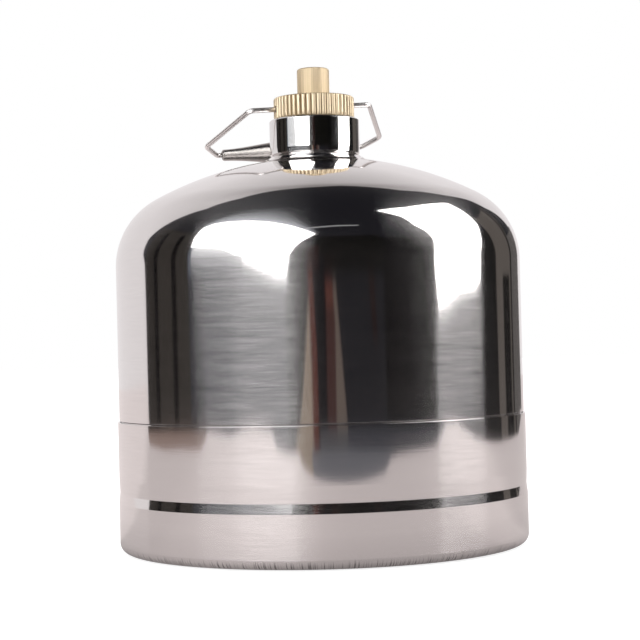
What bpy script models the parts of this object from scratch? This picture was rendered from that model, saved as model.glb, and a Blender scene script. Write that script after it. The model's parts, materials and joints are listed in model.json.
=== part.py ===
"""Camping fuel canister: a steel vessel, a brass refill valve, a knurled screw cap and a wire bail.

The origin is on the standing plane under the middle of the vessel, +Z is up and -Y is the front.
"""

import math

import bmesh
import bpy
from mathutils import Matrix, Vector

MM = 0.001

# Clearances
GAP = 0.3 * MM                    # between pieces that touch on the real canister
SLIDE_GAP = 0.5 * MM              # around the stem, its seal and the spring

# Vessel, two pressed steel shells
STEEL = 0.8 * MM                  # sheet thickness of both shells and of the base
BODY_RADIUS = 75.0 * MM
SHOULDER_START = 104.4 * MM       # height where the straight wall ends
SHOULDER_RADIUS = 27.8 * MM       # tight curve from wall to crown
CROWN_RADIUS = 128.9 * MM         # shallow curve of the top
NECK_RISE = 1.1 * MM              # the flare's top lies this far above the crown's own top
FLARE_RADIUS = 12.9 * MM          # hollow curve that runs up to the neck
FLARE_LIP = 0.7 * MM              # flat lip at the top of the flare
SEAM_HEIGHT = 47.7 * MM           # top edge of the lower shell
LAP_STEP = 0.55 * MM              # how far the lower shell stands out at the seam
LAP_DEPTH = 9.0 * MM              # how far the upper shell reaches down inside the lower one
JOGGLE_DROP = 0.8 * MM            # height of the step that lets the upper shell in
SEAM_EDGE_GAP = 0.3 * MM          # height between the seam edge and the foot of that step

# Rolled groove and foot of the lower shell
GROOVE_TAPER_TOP = 33.0 * MM
GROOVE_WAIST = 21.8 * MM
GROOVE_FOOT = 19.0 * MM
GROOVE_DEPTH = 0.5 * MM
SKIRT_SWELL = 0.15 * MM           # the wall under the groove is this much wider
FOOT_RADIUS = 3.5 * MM            # corner between wall and foot
FOOT_WIDTH = 7.5 * MM             # flat that the canister stands on

# Base panel, pressed upwards
BASE_RIM_WIDTH = 6.0 * MM
BASE_RISE = 8.0 * MM
BASE_EDGE_GAP = 0.4 * MM          # between the panel's edge and the foot's corner

# Neck collar, a turned steel ring
COLLAR_RADIUS = 16.8 * MM
COLLAR_HEIGHT = 13.0 * MM
COLLAR_WALL = 3.0 * MM            # around the well that the valve stands in
COLLAR_UNDERCUT = 1.5 * MM        # rounding of its lower edge
COLLAR_RIM_CHAMFER = 0.5 * MM
WELL_DEPTH = 7.8 * MM
SPIGOT_STEP = 1.6 * MM            # the part below the dome is this much narrower
SPIGOT_LENGTH = 6.3 * MM

# Valve body, brass, with the male stud that a stove screws onto
STUD_RADIUS = 5.56 * MM           # 7/16 inch thread
STUD_RISE = 2.7 * MM              # above the collar's rim
STUD_CHAMFER = 0.5 * MM
STUD_MOUTH_WALL = 2.36 * MM
STUD_MOUTH_DEPTH = 2.0 * MM
VALVE_FLANGE_MARGIN = 1.4 * MM    # between its flange and the wall of the well
VALVE_FLANGE_HEIGHT = 2.5 * MM
VALVE_LEDGE = 3.4 * MM            # width of the flange's underside
VALVE_DEPTH = 20.0 * MM           # below the floor of the well
CHAMBER_RADIUS = 4.6 * MM         # of the bore that holds the spring
VALVE_TAIL_WALL = 2.0 * MM        # around that bore, below the collar
SEAT_DEPTH = 13.0 * MM            # from the stud's top to the face that the stem seal closes

# O-ring under the valve flange
ORING_CORD = 0.7 * MM             # radius of its section
ORING_INSET = 1.5 * MM            # from the flange's edge to the middle of the section

# Stem, its seal, spring and retainer
STEM_RADIUS = 1.6 * MM
STEM_CHAMFER = 0.5 * MM
STEM_RECESS = 3.0 * MM            # the pin's top lies this far down in the stud
STEM_SEAL_HEIGHT = 1.5 * MM
POPPET_MARGIN = 0.9 * MM          # between the poppet and the chamber's wall
POPPET_HEIGHT = 2.0 * MM
GUIDE_LENGTH = 5.0 * MM
RETAINER_HEIGHT = 3.5 * MM
RETAINER_HOLE = 2.0 * MM
SPRING_WIRE = 0.35 * MM           # radius of the spring's wire
SPRING_MARGIN = 1.7 * MM          # from the chamber's wall to the middle of the wire
SPRING_TURNS = 6

# Screw cap, brass
CAP_LEDGE = 1.77 * MM             # the collar's rim shows this much around the cap
CAP_FLANGE_HEIGHT = 8.0 * MM
CAP_CHAMFER = 0.75 * MM
KNURL_TEETH = 48
KNURL_DEPTH = 0.65 * MM
CAP_BOSS_RADIUS = 6.0 * MM
CAP_BOSS_HEIGHT = 10.9 * MM
CAP_BOSS_CHAMFER = 0.5 * MM
CAP_SKIRT_WALL = 2.6 * MM
CAP_HEADROOM = 2.1 * MM           # space over the stud inside the cap
CAP_SEAL_HEIGHT = 1.5 * MM

# Bail, a wire loop that hangs from two blind holes in the cap's flange
WIRE_RADIUS = 0.95 * MM
HINGE_RISE = 4.55 * MM            # from the flange's underside to the holes
HINGE_TURN = math.radians(15.6)   # the loop points a little to the left of straight back
HINGE_TILT = math.radians(3.6)    # the right hole is higher than the left one
HOLE_DEPTH = 5.2 * MM
HOLE_END_GAP = 0.4 * MM           # between the nearer end of the wire and its hole's bottom
BAIL_DROP = math.radians(20.0)    # the loop leans this far below level
BAIL_SHIFT = -1.5 * MM            # the loop sits slid to the left in its holes
BAIL_SIDE_GAP = 6.4 * MM          # from the collar's side to the loop's first corner
BAIL_SPREAD = 11.8 * MM           # the elbow stands out this much further
BAIL_ELBOW_REACH = 28.1 * MM      # from the hinge line to the elbow
BAIL_TUCK = 5.7 * MM              # the grip's corner lies this far inside the elbow
BAIL_GRIP_DROP = 8.3 * MM         # and this much further from the hinge line
BAIL_BEND = 2.6 * MM              # radius of the wire's bends, along its middle

# Grip, one wire wound round the bail into a barrel
GRIP_WIRE = 0.45 * MM             # radius of the grip's wire
GRIP_TURN_GAP = 0.45 * MM         # the turns lie no nearer than this along the barrel
GRIP_BARREL = 4.4 * MM            # outer radius at its middle
GRIP_END_GAP = 2.0 * MM           # from the corner of the bail to the first turn
GRIP_LEAST_GAP = 0.4 * MM

# Facets
ROUND = 48                        # steps round the large turned pieces
ROUND_SMALL = 32                  # and round those inside the neck
ROUND_DRILL = 16
FLARE_STEPS = 4
CROWN_STEPS = 5
SHOULDER_STEPS = 6
CORNER_STEPS = 4
UNDERCUT_STEPS = 3
PANEL_STEPS = 5
CORD_STEPS = 6
TOOTH_STEPS = 3
COIL_POINTS = 8                   # points on each turn of a coil
SHARP_ANGLE = math.radians(35.0)
MERGE = 0.01 * MM                 # points of a turned piece that meet on its axis

# Radii that follow from the sizes above
LOWER_RADIUS = BODY_RADIUS + LAP_STEP
LAP_RADIUS = LOWER_RADIUS - STEEL - GAP
SKIRT_RADIUS = LOWER_RADIUS + SKIRT_SWELL
WELL_RADIUS = COLLAR_RADIUS - COLLAR_WALL
SPIGOT_RADIUS = COLLAR_RADIUS - SPIGOT_STEP
NECK_HOLE = SPIGOT_RADIUS + GAP
VALVE_FLANGE_RADIUS = WELL_RADIUS - VALVE_FLANGE_MARGIN
VALVE_SHANK_RADIUS = VALVE_FLANGE_RADIUS - VALVE_LEDGE
VALVE_TAIL_RADIUS = CHAMBER_RADIUS + VALVE_TAIL_WALL
VALVE_HOLE = max(VALVE_SHANK_RADIUS, VALVE_TAIL_RADIUS) + GAP    # shank and tail go in from above
ORING_RADIUS = VALVE_FLANGE_RADIUS - ORING_INSET
SPRING_COIL = CHAMBER_RADIUS - SPRING_MARGIN
CAP_FLANGE_RADIUS = COLLAR_RADIUS - CAP_LEDGE
CAP_BORE = STUD_RADIUS + GAP
CAP_SKIRT_RADIUS = CAP_BORE + CAP_SKIRT_WALL
HOLE_BOTTOM = CAP_FLANGE_RADIUS - HOLE_DEPTH

# Heights that follow, from the crown upwards
CROWN_CENTRE = SHOULDER_START - math.sqrt(
    (CROWN_RADIUS - SHOULDER_RADIUS) ** 2 - (BODY_RADIUS - SHOULDER_RADIUS) ** 2
)
FLARE_TOP = CROWN_CENTRE + CROWN_RADIUS + NECK_RISE
COLLAR_BOTTOM = FLARE_TOP + GAP
COLLAR_TOP = COLLAR_BOTTOM + COLLAR_HEIGHT
WELL_FLOOR = COLLAR_TOP - WELL_DEPTH
SPIGOT_BOTTOM = COLLAR_BOTTOM - SPIGOT_LENGTH
STUD_TOP = COLLAR_TOP + STUD_RISE
VALVE_BOTTOM = WELL_FLOOR - VALVE_DEPTH
VALVE_FLANGE_BOTTOM = WELL_FLOOR + GAP
VALVE_FLANGE_TOP = VALVE_FLANGE_BOTTOM + VALVE_FLANGE_HEIGHT
SEAT_HEIGHT = STUD_TOP - SEAT_DEPTH
STEM_TOP = STUD_TOP - STEM_RECESS
STEM_SEAL_BOTTOM = SEAT_HEIGHT - GAP - STEM_SEAL_HEIGHT
POPPET_TOP = STEM_SEAL_BOTTOM - GAP
POPPET_BOTTOM = POPPET_TOP - POPPET_HEIGHT
CAP_SEAL_BOTTOM = VALVE_FLANGE_TOP + GAP
CAP_SKIRT_BOTTOM = CAP_SEAL_BOTTOM + CAP_SEAL_HEIGHT + GAP
CAP_FLANGE_BOTTOM = COLLAR_TOP + GAP
CAP_FLANGE_TOP = CAP_FLANGE_BOTTOM + CAP_FLANGE_HEIGHT
CAP_TOP = CAP_FLANGE_TOP + CAP_BOSS_HEIGHT
HINGE_HEIGHT = CAP_FLANGE_BOTTOM + HINGE_RISE

# Colour, roughness and metallic value of each finish
FINISHES = {
    "polished_steel": ((0.78, 0.76, 0.75), 0.18, 1.0),
    "turned_steel": ((0.80, 0.79, 0.78), 0.10, 1.0),
    "inner_steel": ((0.55, 0.54, 0.53), 0.45, 1.0),
    "steel_wire": ((0.66, 0.64, 0.63), 0.28, 1.0),
    "brass": ((0.86, 0.72, 0.42), 0.30, 1.0),
    "spring_steel": ((0.50, 0.50, 0.52), 0.35, 1.0),
    "black_rubber": ((0.02, 0.02, 0.02), 0.70, 0.0),
}


def clear_scene():
    """Remove every object, so that the script can run twice."""
    for item in list(bpy.data.objects):
        bpy.data.objects.remove(item, do_unlink=True)


def collection(name):
    """A new collection in the scene."""
    group = bpy.data.collections.new(name)
    bpy.context.scene.collection.children.link(group)
    return group


def material(piece_name, finish):
    """The piece's own Principled material, in one of the canister's finishes."""
    colour, roughness, metallic = FINISHES[finish]
    result = bpy.data.materials.new(piece_name)
    result.use_nodes = True
    shader = result.node_tree.nodes["Principled BSDF"]
    shader.inputs["Base Color"].default_value = (*colour, 1.0)
    shader.inputs["Roughness"].default_value = roughness
    shader.inputs["Metallic"].default_value = metallic
    result.diffuse_color = (*colour, 1.0)
    return result


def add_piece(name, data, group, finish=None):
    """Put a mesh or curve into the scene as one named piece."""
    piece = bpy.data.objects.new(name, data)
    group.objects.link(piece)
    if finish:
        data.materials.append(material(name, finish))
    else:
        piece.hide_render = True
        piece.display_type = "WIRE"
    return piece


def freeze(piece):
    """Turn the piece's modifiers into mesh, and shade its round faces smooth."""
    depsgraph = bpy.context.evaluated_depsgraph_get()
    mesh = bpy.data.meshes.new_from_object(piece.evaluated_get(depsgraph))
    piece.modifiers.clear()
    piece.data = mesh
    mesh.shade_smooth()
    mesh.set_sharp_from_angle(angle=SHARP_ANGLE)
    return piece


def turned(name, outline, group, finish=None, closed=False, steps=ROUND, wall=None):
    """Spin an outline of (radius, height) points, outer side running down, about the Z axis."""
    mesh = bpy.data.meshes.new(name)
    points = [(radius, 0.0, height) for radius, height in outline]
    edges = [(i, i + 1) for i in range(len(points) - 1)]
    if closed:
        edges.append((len(points) - 1, 0))
    mesh.from_pydata(points, edges, [])
    piece = add_piece(name, mesh, group, finish)
    screw = piece.modifiers.new("spin", "SCREW")
    screw.axis = "Z"
    screw.angle = math.tau
    screw.steps = steps
    screw.render_steps = steps
    screw.use_merge_vertices = True
    screw.merge_threshold = MERGE
    if wall:
        solid = piece.modifiers.new("sheet", "SOLIDIFY")
        solid.thickness = wall
        solid.offset = -1.0
        solid.use_even_offset = True
    return freeze(piece)


def arc(centre, radius, start, end, steps):
    """Points on a circle of an outline, from one angle to another."""
    angles = [start + (end - start) * i / steps for i in range(steps + 1)]
    return [(centre[0] + radius * math.cos(a), centre[1] + radius * math.sin(a)) for a in angles]


def rounded(corners, radius, steps):
    """A path through the given corners, with each inner corner turned into an arc."""
    path = [corners[0]]
    for before, corner, after in zip(corners, corners[1:], corners[2:]):
        back = (before - corner).normalized()
        ahead = (after - corner).normalized()
        half = 0.5 * back.angle(ahead)
        middle = corner + (back + ahead).normalized() * (radius / math.sin(half))
        first = corner + back * (radius / math.tan(half)) - middle
        last = corner + ahead * (radius / math.tan(half)) - middle
        path += [middle + first.slerp(last, i / steps) * radius for i in range(steps + 1)]
    path.append(corners[-1])
    return path


def tube(name, path, radius, group, finish, sides):
    """A wire along a path of points, with closed ends."""
    curve = bpy.data.curves.new(name, "CURVE")
    curve.dimensions = "3D"
    curve.bevel_depth = radius
    curve.bevel_resolution = sides
    curve.use_fill_caps = True
    spline = curve.splines.new("POLY")
    spline.points.add(len(path) - 1)
    for point, place in zip(spline.points, path):
        point.co = (*place, 1.0)
    return add_piece(name, curve, group, finish)


def cut(piece, cutter, operation="DIFFERENCE"):
    """Cut a piece with another one, or join the other one to it."""
    boolean = piece.modifiers.new(cutter.name, "BOOLEAN")
    boolean.operation = operation
    boolean.solver = "EXACT"
    boolean.object = cutter
    freeze(piece)


def flare_centre():
    """Middle of the hollow curve, which touches the crown and ends at the collar's foot."""
    foot = Vector((NECK_HOLE + FLARE_LIP, FLARE_TOP - CROWN_CENTRE))
    reach = CROWN_RADIUS + FLARE_RADIUS
    along = (foot.length_squared + reach**2 - FLARE_RADIUS**2) / (2.0 * foot.length)
    across = math.sqrt(reach**2 - along**2)
    unit = foot.normalized()
    centre = unit * along + Vector((unit.y, -unit.x)) * across
    return centre.x, centre.y + CROWN_CENTRE


def upper_shell(group):
    """Crown, shoulder and wall in one pressing, stepped in where the lower shell laps it."""
    centre = flare_centre()
    foot = Vector((NECK_HOLE + FLARE_LIP - centre[0], FLARE_TOP - centre[1]))
    lift = math.atan2(centre[1] - CROWN_CENTRE, centre[0])
    join = math.acos((BODY_RADIUS - SHOULDER_RADIUS) / (CROWN_RADIUS - SHOULDER_RADIUS))
    step_foot = SEAM_HEIGHT + SEAM_EDGE_GAP
    outline = [(NECK_HOLE, FLARE_TOP)]
    outline += arc(centre, FLARE_RADIUS, math.atan2(foot.y, foot.x), lift - math.pi, FLARE_STEPS)
    outline += arc((0.0, CROWN_CENTRE), CROWN_RADIUS, lift, join, CROWN_STEPS)[1:]
    shoulder = (BODY_RADIUS - SHOULDER_RADIUS, SHOULDER_START)
    outline += arc(shoulder, SHOULDER_RADIUS, join, 0.0, SHOULDER_STEPS)[1:]
    outline.append((BODY_RADIUS, step_foot + JOGGLE_DROP))
    outline.append((LAP_RADIUS, step_foot))
    outline.append((LAP_RADIUS, SEAM_HEIGHT - LAP_DEPTH))
    turned("upper_shell", outline, group, "polished_steel", wall=STEEL)


def lower_shell(group):
    """Cup that laps over the upper shell, with a rolled groove and a turned-in foot."""
    corner = (SKIRT_RADIUS - FOOT_RADIUS, FOOT_RADIUS)
    outline = [(LOWER_RADIUS, SEAM_HEIGHT), (LOWER_RADIUS, GROOVE_TAPER_TOP)]
    outline.append((LOWER_RADIUS - GROOVE_DEPTH, GROOVE_WAIST))
    outline.append((SKIRT_RADIUS, GROOVE_FOOT))
    outline += arc(corner, FOOT_RADIUS, 0.0, -0.5 * math.pi, CORNER_STEPS)
    outline.append((corner[0] - FOOT_WIDTH, 0.0))
    turned("lower_shell", outline, group, "polished_steel", wall=STEEL)


def base_panel(group):
    """Disc pressed upwards, whose flat rim lies on the turned-in foot."""
    rim_bottom = STEEL + GAP
    edge = SKIRT_RADIUS - FOOT_RADIUS - BASE_EDGE_GAP
    rim = edge - BASE_RIM_WIDTH
    top = rim_bottom + STEEL
    radius = (rim**2 + BASE_RISE**2) / (2.0 * BASE_RISE)
    centre = (0.0, top + BASE_RISE - radius)
    slope = math.asin(rim / radius)
    outline = arc(centre, radius, 0.5 * math.pi, 0.5 * math.pi - slope, PANEL_STEPS)
    outline[0] = (0.0, top + BASE_RISE)
    outline.append((edge, top))
    turned("base_panel", outline, group, "inner_steel", wall=STEEL)


def neck_collar(group):
    """Turned ring welded into the top, with a well around the valve."""
    under = (COLLAR_RADIUS - COLLAR_UNDERCUT, COLLAR_BOTTOM + COLLAR_UNDERCUT)
    groove = ORING_CORD + GAP
    outline = [(COLLAR_RADIUS - COLLAR_RIM_CHAMFER, COLLAR_TOP)]
    outline.append((COLLAR_RADIUS, COLLAR_TOP - COLLAR_RIM_CHAMFER))
    outline += arc(under, COLLAR_UNDERCUT, 0.0, -0.5 * math.pi, UNDERCUT_STEPS)
    outline.append((SPIGOT_RADIUS, COLLAR_BOTTOM))
    outline.append((SPIGOT_RADIUS, SPIGOT_BOTTOM))
    outline.append((VALVE_HOLE, SPIGOT_BOTTOM))
    outline.append((VALVE_HOLE, WELL_FLOOR))
    outline.append((ORING_RADIUS - groove, WELL_FLOOR))
    outline.append((ORING_RADIUS - groove, WELL_FLOOR - 2.0 * ORING_CORD - GAP))
    outline.append((ORING_RADIUS + groove, WELL_FLOOR - 2.0 * ORING_CORD - GAP))
    outline.append((ORING_RADIUS + groove, WELL_FLOOR))
    outline.append((WELL_RADIUS, WELL_FLOOR))
    outline.append((WELL_RADIUS, COLLAR_TOP - COLLAR_RIM_CHAMFER))
    outline.append((WELL_RADIUS + COLLAR_RIM_CHAMFER, COLLAR_TOP))
    turned("neck_collar", outline, group, "turned_steel", closed=True)


def valve_body(group):
    """Brass body with the threaded stud on top and the spring chamber below."""
    outline = [(STUD_RADIUS - STUD_MOUTH_WALL, STUD_TOP)]
    outline.append((STUD_RADIUS - STUD_CHAMFER, STUD_TOP))
    outline.append((STUD_RADIUS, STUD_TOP - STUD_CHAMFER))
    outline.append((STUD_RADIUS, VALVE_FLANGE_TOP))
    outline.append((VALVE_FLANGE_RADIUS, VALVE_FLANGE_TOP))
    outline.append((VALVE_FLANGE_RADIUS, VALVE_FLANGE_BOTTOM))
    outline.append((VALVE_SHANK_RADIUS, VALVE_FLANGE_BOTTOM))
    outline.append((VALVE_SHANK_RADIUS, SPIGOT_BOTTOM))
    outline.append((VALVE_TAIL_RADIUS, SPIGOT_BOTTOM))
    outline.append((VALVE_TAIL_RADIUS, VALVE_BOTTOM))
    outline.append((CHAMBER_RADIUS, VALVE_BOTTOM))
    outline.append((CHAMBER_RADIUS, SEAT_HEIGHT))
    outline.append((STEM_RADIUS + SLIDE_GAP, SEAT_HEIGHT))
    outline.append((STEM_RADIUS + SLIDE_GAP, STUD_TOP - STUD_MOUTH_DEPTH))
    turned("valve_body", outline, group, "brass", closed=True, steps=ROUND_SMALL)


def ring(name, inner, outer, bottom, height, group, finish):
    """A flat ring of rectangular section."""
    top = bottom + height
    outline = [(outer, top), (outer, bottom), (inner, bottom), (inner, top)]
    turned(name, outline, group, finish, closed=True, steps=ROUND_SMALL)


def valve_oring(group):
    """O-ring that seals the valve body in the collar."""
    centre = (ORING_RADIUS, WELL_FLOOR - ORING_CORD)
    section = arc(centre, ORING_CORD, 0.0, -math.tau, CORD_STEPS)[:-1]
    turned("valve_oring", section, group, "black_rubber", closed=True, steps=ROUND_SMALL)


def valve_stem(group):
    """Pin with a poppet head, whose lower rod guides the spring."""
    poppet = CHAMBER_RADIUS - POPPET_MARGIN
    guide = SPRING_COIL - SPRING_WIRE - SLIDE_GAP
    outline = [(0.0, STEM_TOP), (STEM_RADIUS - STEM_CHAMFER, STEM_TOP)]
    outline += [(STEM_RADIUS, STEM_TOP - STEM_CHAMFER), (STEM_RADIUS, POPPET_TOP)]
    outline += [(poppet, POPPET_TOP), (poppet, POPPET_BOTTOM)]
    outline += [(guide, POPPET_BOTTOM), (guide, POPPET_BOTTOM - GUIDE_LENGTH)]
    outline.append((0.0, POPPET_BOTTOM - GUIDE_LENGTH))
    turned("valve_stem", outline, group, "brass", steps=ROUND_SMALL)


def stem_seal(group):
    """Rubber ring between the poppet and its seat."""
    inner = STEM_RADIUS + GAP
    outer = CHAMBER_RADIUS - SLIDE_GAP
    ring("stem_seal", inner, outer, STEM_SEAL_BOTTOM, STEM_SEAL_HEIGHT, group, "black_rubber")


def spring_retainer(group):
    """Ring screwed into the chamber's lower end, which carries the spring."""
    outer = CHAMBER_RADIUS - GAP
    ring("spring_retainer", RETAINER_HOLE, outer, VALVE_BOTTOM, RETAINER_HEIGHT, group, "brass")


def cap_seal(group):
    """Rubber ring that the cap's skirt presses onto the valve's flange."""
    outer = CAP_SKIRT_RADIUS - GAP
    ring("cap_seal", CAP_BORE, outer, CAP_SEAL_BOTTOM, CAP_SEAL_HEIGHT, group, "black_rubber")


def helix(start, length, turns, points, radius_at):
    """Points of a coil along +X from start, whose radius follows the share of its length."""
    count = turns * points
    path = []
    for i in range(count + 1):
        share = i / count
        angle = math.tau * i / points
        radius = radius_at(share)
        side = Vector((0.0, radius * math.cos(angle), radius * math.sin(angle)))
        path.append(start + Vector((share * length, 0.0, 0.0)) + side)
    return path


def least_gap(path, points, wire):
    """Smallest clear distance between stretches of a coil that are half a turn or more apart."""
    least = math.inf
    for i, here in enumerate(path):
        for there in path[i + points // 2 + 1 : i + 2 * points]:
            least = min(least, (there - here).length)
    return least - 2.0 * wire


def valve_spring(group):
    """Compression spring under the poppet."""
    bottom = VALVE_BOTTOM + RETAINER_HEIGHT + GAP + SPRING_WIRE
    length = POPPET_BOTTOM - GAP - SPRING_WIRE - bottom
    path = helix(Vector(), length, SPRING_TURNS, COIL_POINTS, lambda share: SPRING_COIL)
    upright = [Vector((place.y, place.z, place.x + bottom)) for place in path]
    tube("valve_spring", upright, SPRING_WIRE, group, "spring_steel", 1)


def knurl(piece):
    """Press straight grooves into the rim, all round, one point of the rim wide at their roots."""
    root = CAP_FLANGE_RADIUS - KNURL_DEPTH
    for vertex in piece.data.vertices:
        place = vertex.co
        share = math.atan2(place.y, place.x) / math.tau * KNURL_TEETH
        radius = math.hypot(place.x, place.y)
        if abs(share - round(share)) < 0.5 / TOOTH_STEPS and radius > root:
            place.x *= root / radius
            place.y *= root / radius


def screw_cap(group, cutters, hinge):
    """Cap turned from bar, knurled, bored to fit the stud and drilled for the bail."""
    outer = CAP_FLANGE_RADIUS
    chamfer = outer - CAP_CHAMFER
    middle = 0.5 * (CAP_FLANGE_BOTTOM + CAP_FLANGE_TOP)
    flange = [(0.0, CAP_FLANGE_TOP), (chamfer, CAP_FLANGE_TOP)]
    flange += [(outer, CAP_FLANGE_TOP - CAP_CHAMFER), (outer, CAP_FLANGE_BOTTOM + CAP_CHAMFER)]
    flange += [(chamfer, CAP_FLANGE_BOTTOM), (0.0, CAP_FLANGE_BOTTOM)]
    cap = turned("screw_cap", flange, group, "brass", steps=TOOTH_STEPS * KNURL_TEETH)
    knurl(cap)
    core = [(0.0, CAP_TOP), (CAP_BOSS_RADIUS - CAP_BOSS_CHAMFER, CAP_TOP)]
    core += [(CAP_BOSS_RADIUS, CAP_TOP - CAP_BOSS_CHAMFER), (CAP_BOSS_RADIUS, middle)]
    core += [(CAP_SKIRT_RADIUS, middle), (CAP_SKIRT_RADIUS, CAP_SKIRT_BOTTOM), (0.0, CAP_SKIRT_BOTTOM)]
    cut(cap, turned("cap_core", core, cutters), "UNION")
    headroom = STUD_TOP + CAP_HEADROOM
    below = CAP_SKIRT_BOTTOM - CAP_CHAMFER
    bore = [(0.0, headroom), (CAP_BORE, headroom), (CAP_BORE, below), (0.0, below)]
    cut(cap, turned("cap_bore", bore, cutters, steps=ROUND_SMALL))
    for side in (-1.0, 1.0):
        cut(cap, hinge_drill(side, cutters, hinge))


def hinge_drill(side, cutters, hinge):
    """Drill for one of the bail's holes, which stops short of the cap's bore."""
    length = CAP_FLANGE_RADIUS + CAP_CHAMFER - HOLE_BOTTOM
    mesh = bpy.data.meshes.new("hinge_drill")
    shape = bmesh.new()
    bmesh.ops.create_cone(
        shape, cap_ends=True, segments=ROUND_DRILL,
        radius1=WIRE_RADIUS + GAP, radius2=WIRE_RADIUS + GAP, depth=length,
    )
    place = Matrix.Translation((side * (HOLE_BOTTOM + 0.5 * length), 0.0, 0.0))
    shape.transform(hinge @ place @ Matrix.Rotation(0.5 * math.pi, 4, "Y"))
    shape.to_mesh(mesh)
    shape.free()
    return add_piece("hinge_drill", mesh, cutters)


def hinge_frame():
    """Hinge line along local X, with the loop lying along local Y."""
    turn = Matrix.Rotation(HINGE_TURN, 4, "Z")
    tilt = Matrix.Rotation(-HINGE_TILT, 4, "Y")
    drop = Matrix.Rotation(-BAIL_DROP, 4, "X")
    return Matrix.Translation((0.0, 0.0, HINGE_HEIGHT)) @ turn @ tilt @ drop


def bail(group, hinge):
    """Wire loop, and the barrel of wire wound round its far side."""
    pivot = bpy.data.objects.new("bail_pivot", None)
    pivot.matrix_world = hinge
    group.objects.link(pivot)
    end = HOLE_BOTTOM + HOLE_END_GAP + abs(BAIL_SHIFT)
    top = COLLAR_RADIUS + BAIL_SIDE_GAP
    elbow = top + BAIL_SPREAD
    corner = elbow - BAIL_TUCK
    reach = BAIL_ELBOW_REACH + BAIL_GRIP_DROP
    half = [(end, 0.0), (top, 0.0), (elbow, BAIL_ELBOW_REACH), (corner, reach)]
    corners = [Vector((BAIL_SHIFT - across, out, 0.0)) for across, out in half]
    corners += [Vector((BAIL_SHIFT + across, out, 0.0)) for across, out in reversed(half)]
    wire = tube("bail_wire", rounded(corners, BAIL_BEND, CORNER_STEPS), WIRE_RADIUS, group, "steel_wire", 2)
    length = 2.0 * (corner - GRIP_END_GAP)
    turns = int(length / (2.0 * GRIP_WIRE + GRIP_TURN_GAP))
    end_radius = (WIRE_RADIUS + GAP + GRIP_WIRE) / math.cos(math.pi / COIL_POINTS)
    swell = GRIP_BARREL - GRIP_WIRE - end_radius

    def barrel(share):
        return end_radius + swell * 0.5 * (1.0 - math.cos(math.tau * share))

    start = Vector((BAIL_SHIFT - 0.5 * length, reach, 0.0))
    path = helix(start, length, turns, COIL_POINTS, barrel)
    clear = least_gap(path, COIL_POINTS, GRIP_WIRE)
    print(f"grip: least gap to itself {clear / MM:.3f} mm, wanted over {GRIP_LEAST_GAP / MM:.1f} mm")
    grip = tube("grip_coil", path, GRIP_WIRE, group, "spring_steel", 1)
    for piece in (wire, grip):
        piece.parent = pivot


def build():
    """Make every piece of the canister."""
    clear_scene()
    group = collection("fuel_canister")
    cutters = collection("cutters")
    hinge = hinge_frame()
    upper_shell(group)
    lower_shell(group)
    base_panel(group)
    neck_collar(group)
    valve_body(group)
    valve_oring(group)
    valve_stem(group)
    stem_seal(group)
    valve_spring(group)
    spring_retainer(group)
    cap_seal(group)
    screw_cap(group, cutters, hinge)
    bail(group, hinge)


build()
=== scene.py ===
# %% [markdown]
# # A camping fuel canister in polished steel and brass
#
# The canister is a pressed steel vessel with a turned collar, a brass valve under a knurled
# brass cap, and a wire bail with a wound grip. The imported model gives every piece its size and
# place. This script gives each piece its fine shape and its finish, then sets up the studio that
# the steel mirrors. Polished metal has hardly any look of its own: most of what the eye sees on
# it is the room, so here the studio is built as carefully as the object.

# %% Load the frame
import json
import math

import bmesh
import bpy
import numpy as np
from mathutils import Matrix, Vector


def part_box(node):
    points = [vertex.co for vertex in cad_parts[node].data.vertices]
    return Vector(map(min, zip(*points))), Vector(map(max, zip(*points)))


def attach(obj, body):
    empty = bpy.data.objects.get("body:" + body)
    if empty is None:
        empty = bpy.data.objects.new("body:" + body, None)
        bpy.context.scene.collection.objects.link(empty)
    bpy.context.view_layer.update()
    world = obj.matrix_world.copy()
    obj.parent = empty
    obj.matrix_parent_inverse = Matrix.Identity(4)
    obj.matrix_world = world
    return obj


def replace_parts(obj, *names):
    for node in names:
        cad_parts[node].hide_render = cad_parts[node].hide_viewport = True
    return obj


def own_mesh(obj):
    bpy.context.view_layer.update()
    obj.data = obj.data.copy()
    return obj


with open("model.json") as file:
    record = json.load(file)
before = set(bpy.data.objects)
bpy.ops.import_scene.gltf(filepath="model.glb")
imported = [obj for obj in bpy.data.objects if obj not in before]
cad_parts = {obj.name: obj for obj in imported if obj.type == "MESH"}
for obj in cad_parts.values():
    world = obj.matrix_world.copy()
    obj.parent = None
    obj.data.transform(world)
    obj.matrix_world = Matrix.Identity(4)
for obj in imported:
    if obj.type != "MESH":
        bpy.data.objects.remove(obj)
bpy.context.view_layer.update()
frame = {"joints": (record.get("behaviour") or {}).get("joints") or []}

MM = 0.001
TINY = 1e-6
joints = {joint["name"]: joint for joint in frame["joints"]}
print("joints:", ", ".join(joints))

# %% [markdown]
# ## Reading sizes from the frame
#
# A turned piece is told by its largest radius and its lowest and highest point. All three come
# from the piece's box in the frame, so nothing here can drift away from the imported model. Radii
# that a box can't show, such as the curve of the crown, are named below it.

# %% Radii and heights
def reach(node):
    """Largest radius, lowest and highest point of a turned piece, in metres."""
    low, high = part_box(node)
    return high.x, low.z, high.z


BODY_FOOT_RADIUS, _, SEAM_HEIGHT = reach("lower_shell")
_, LAP_BOTTOM, FLARE_TOP = reach("upper_shell")
COLLAR_RADIUS, SPIGOT_BOTTOM, COLLAR_TOP = reach("neck_collar")
VALVE_FLANGE_RADIUS, VALVE_BOTTOM, STUD_TOP = reach("valve_body")
CAP_RADIUS, CAP_SKIRT_BOTTOM, CAP_TOP = reach("screw_cap")

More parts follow.
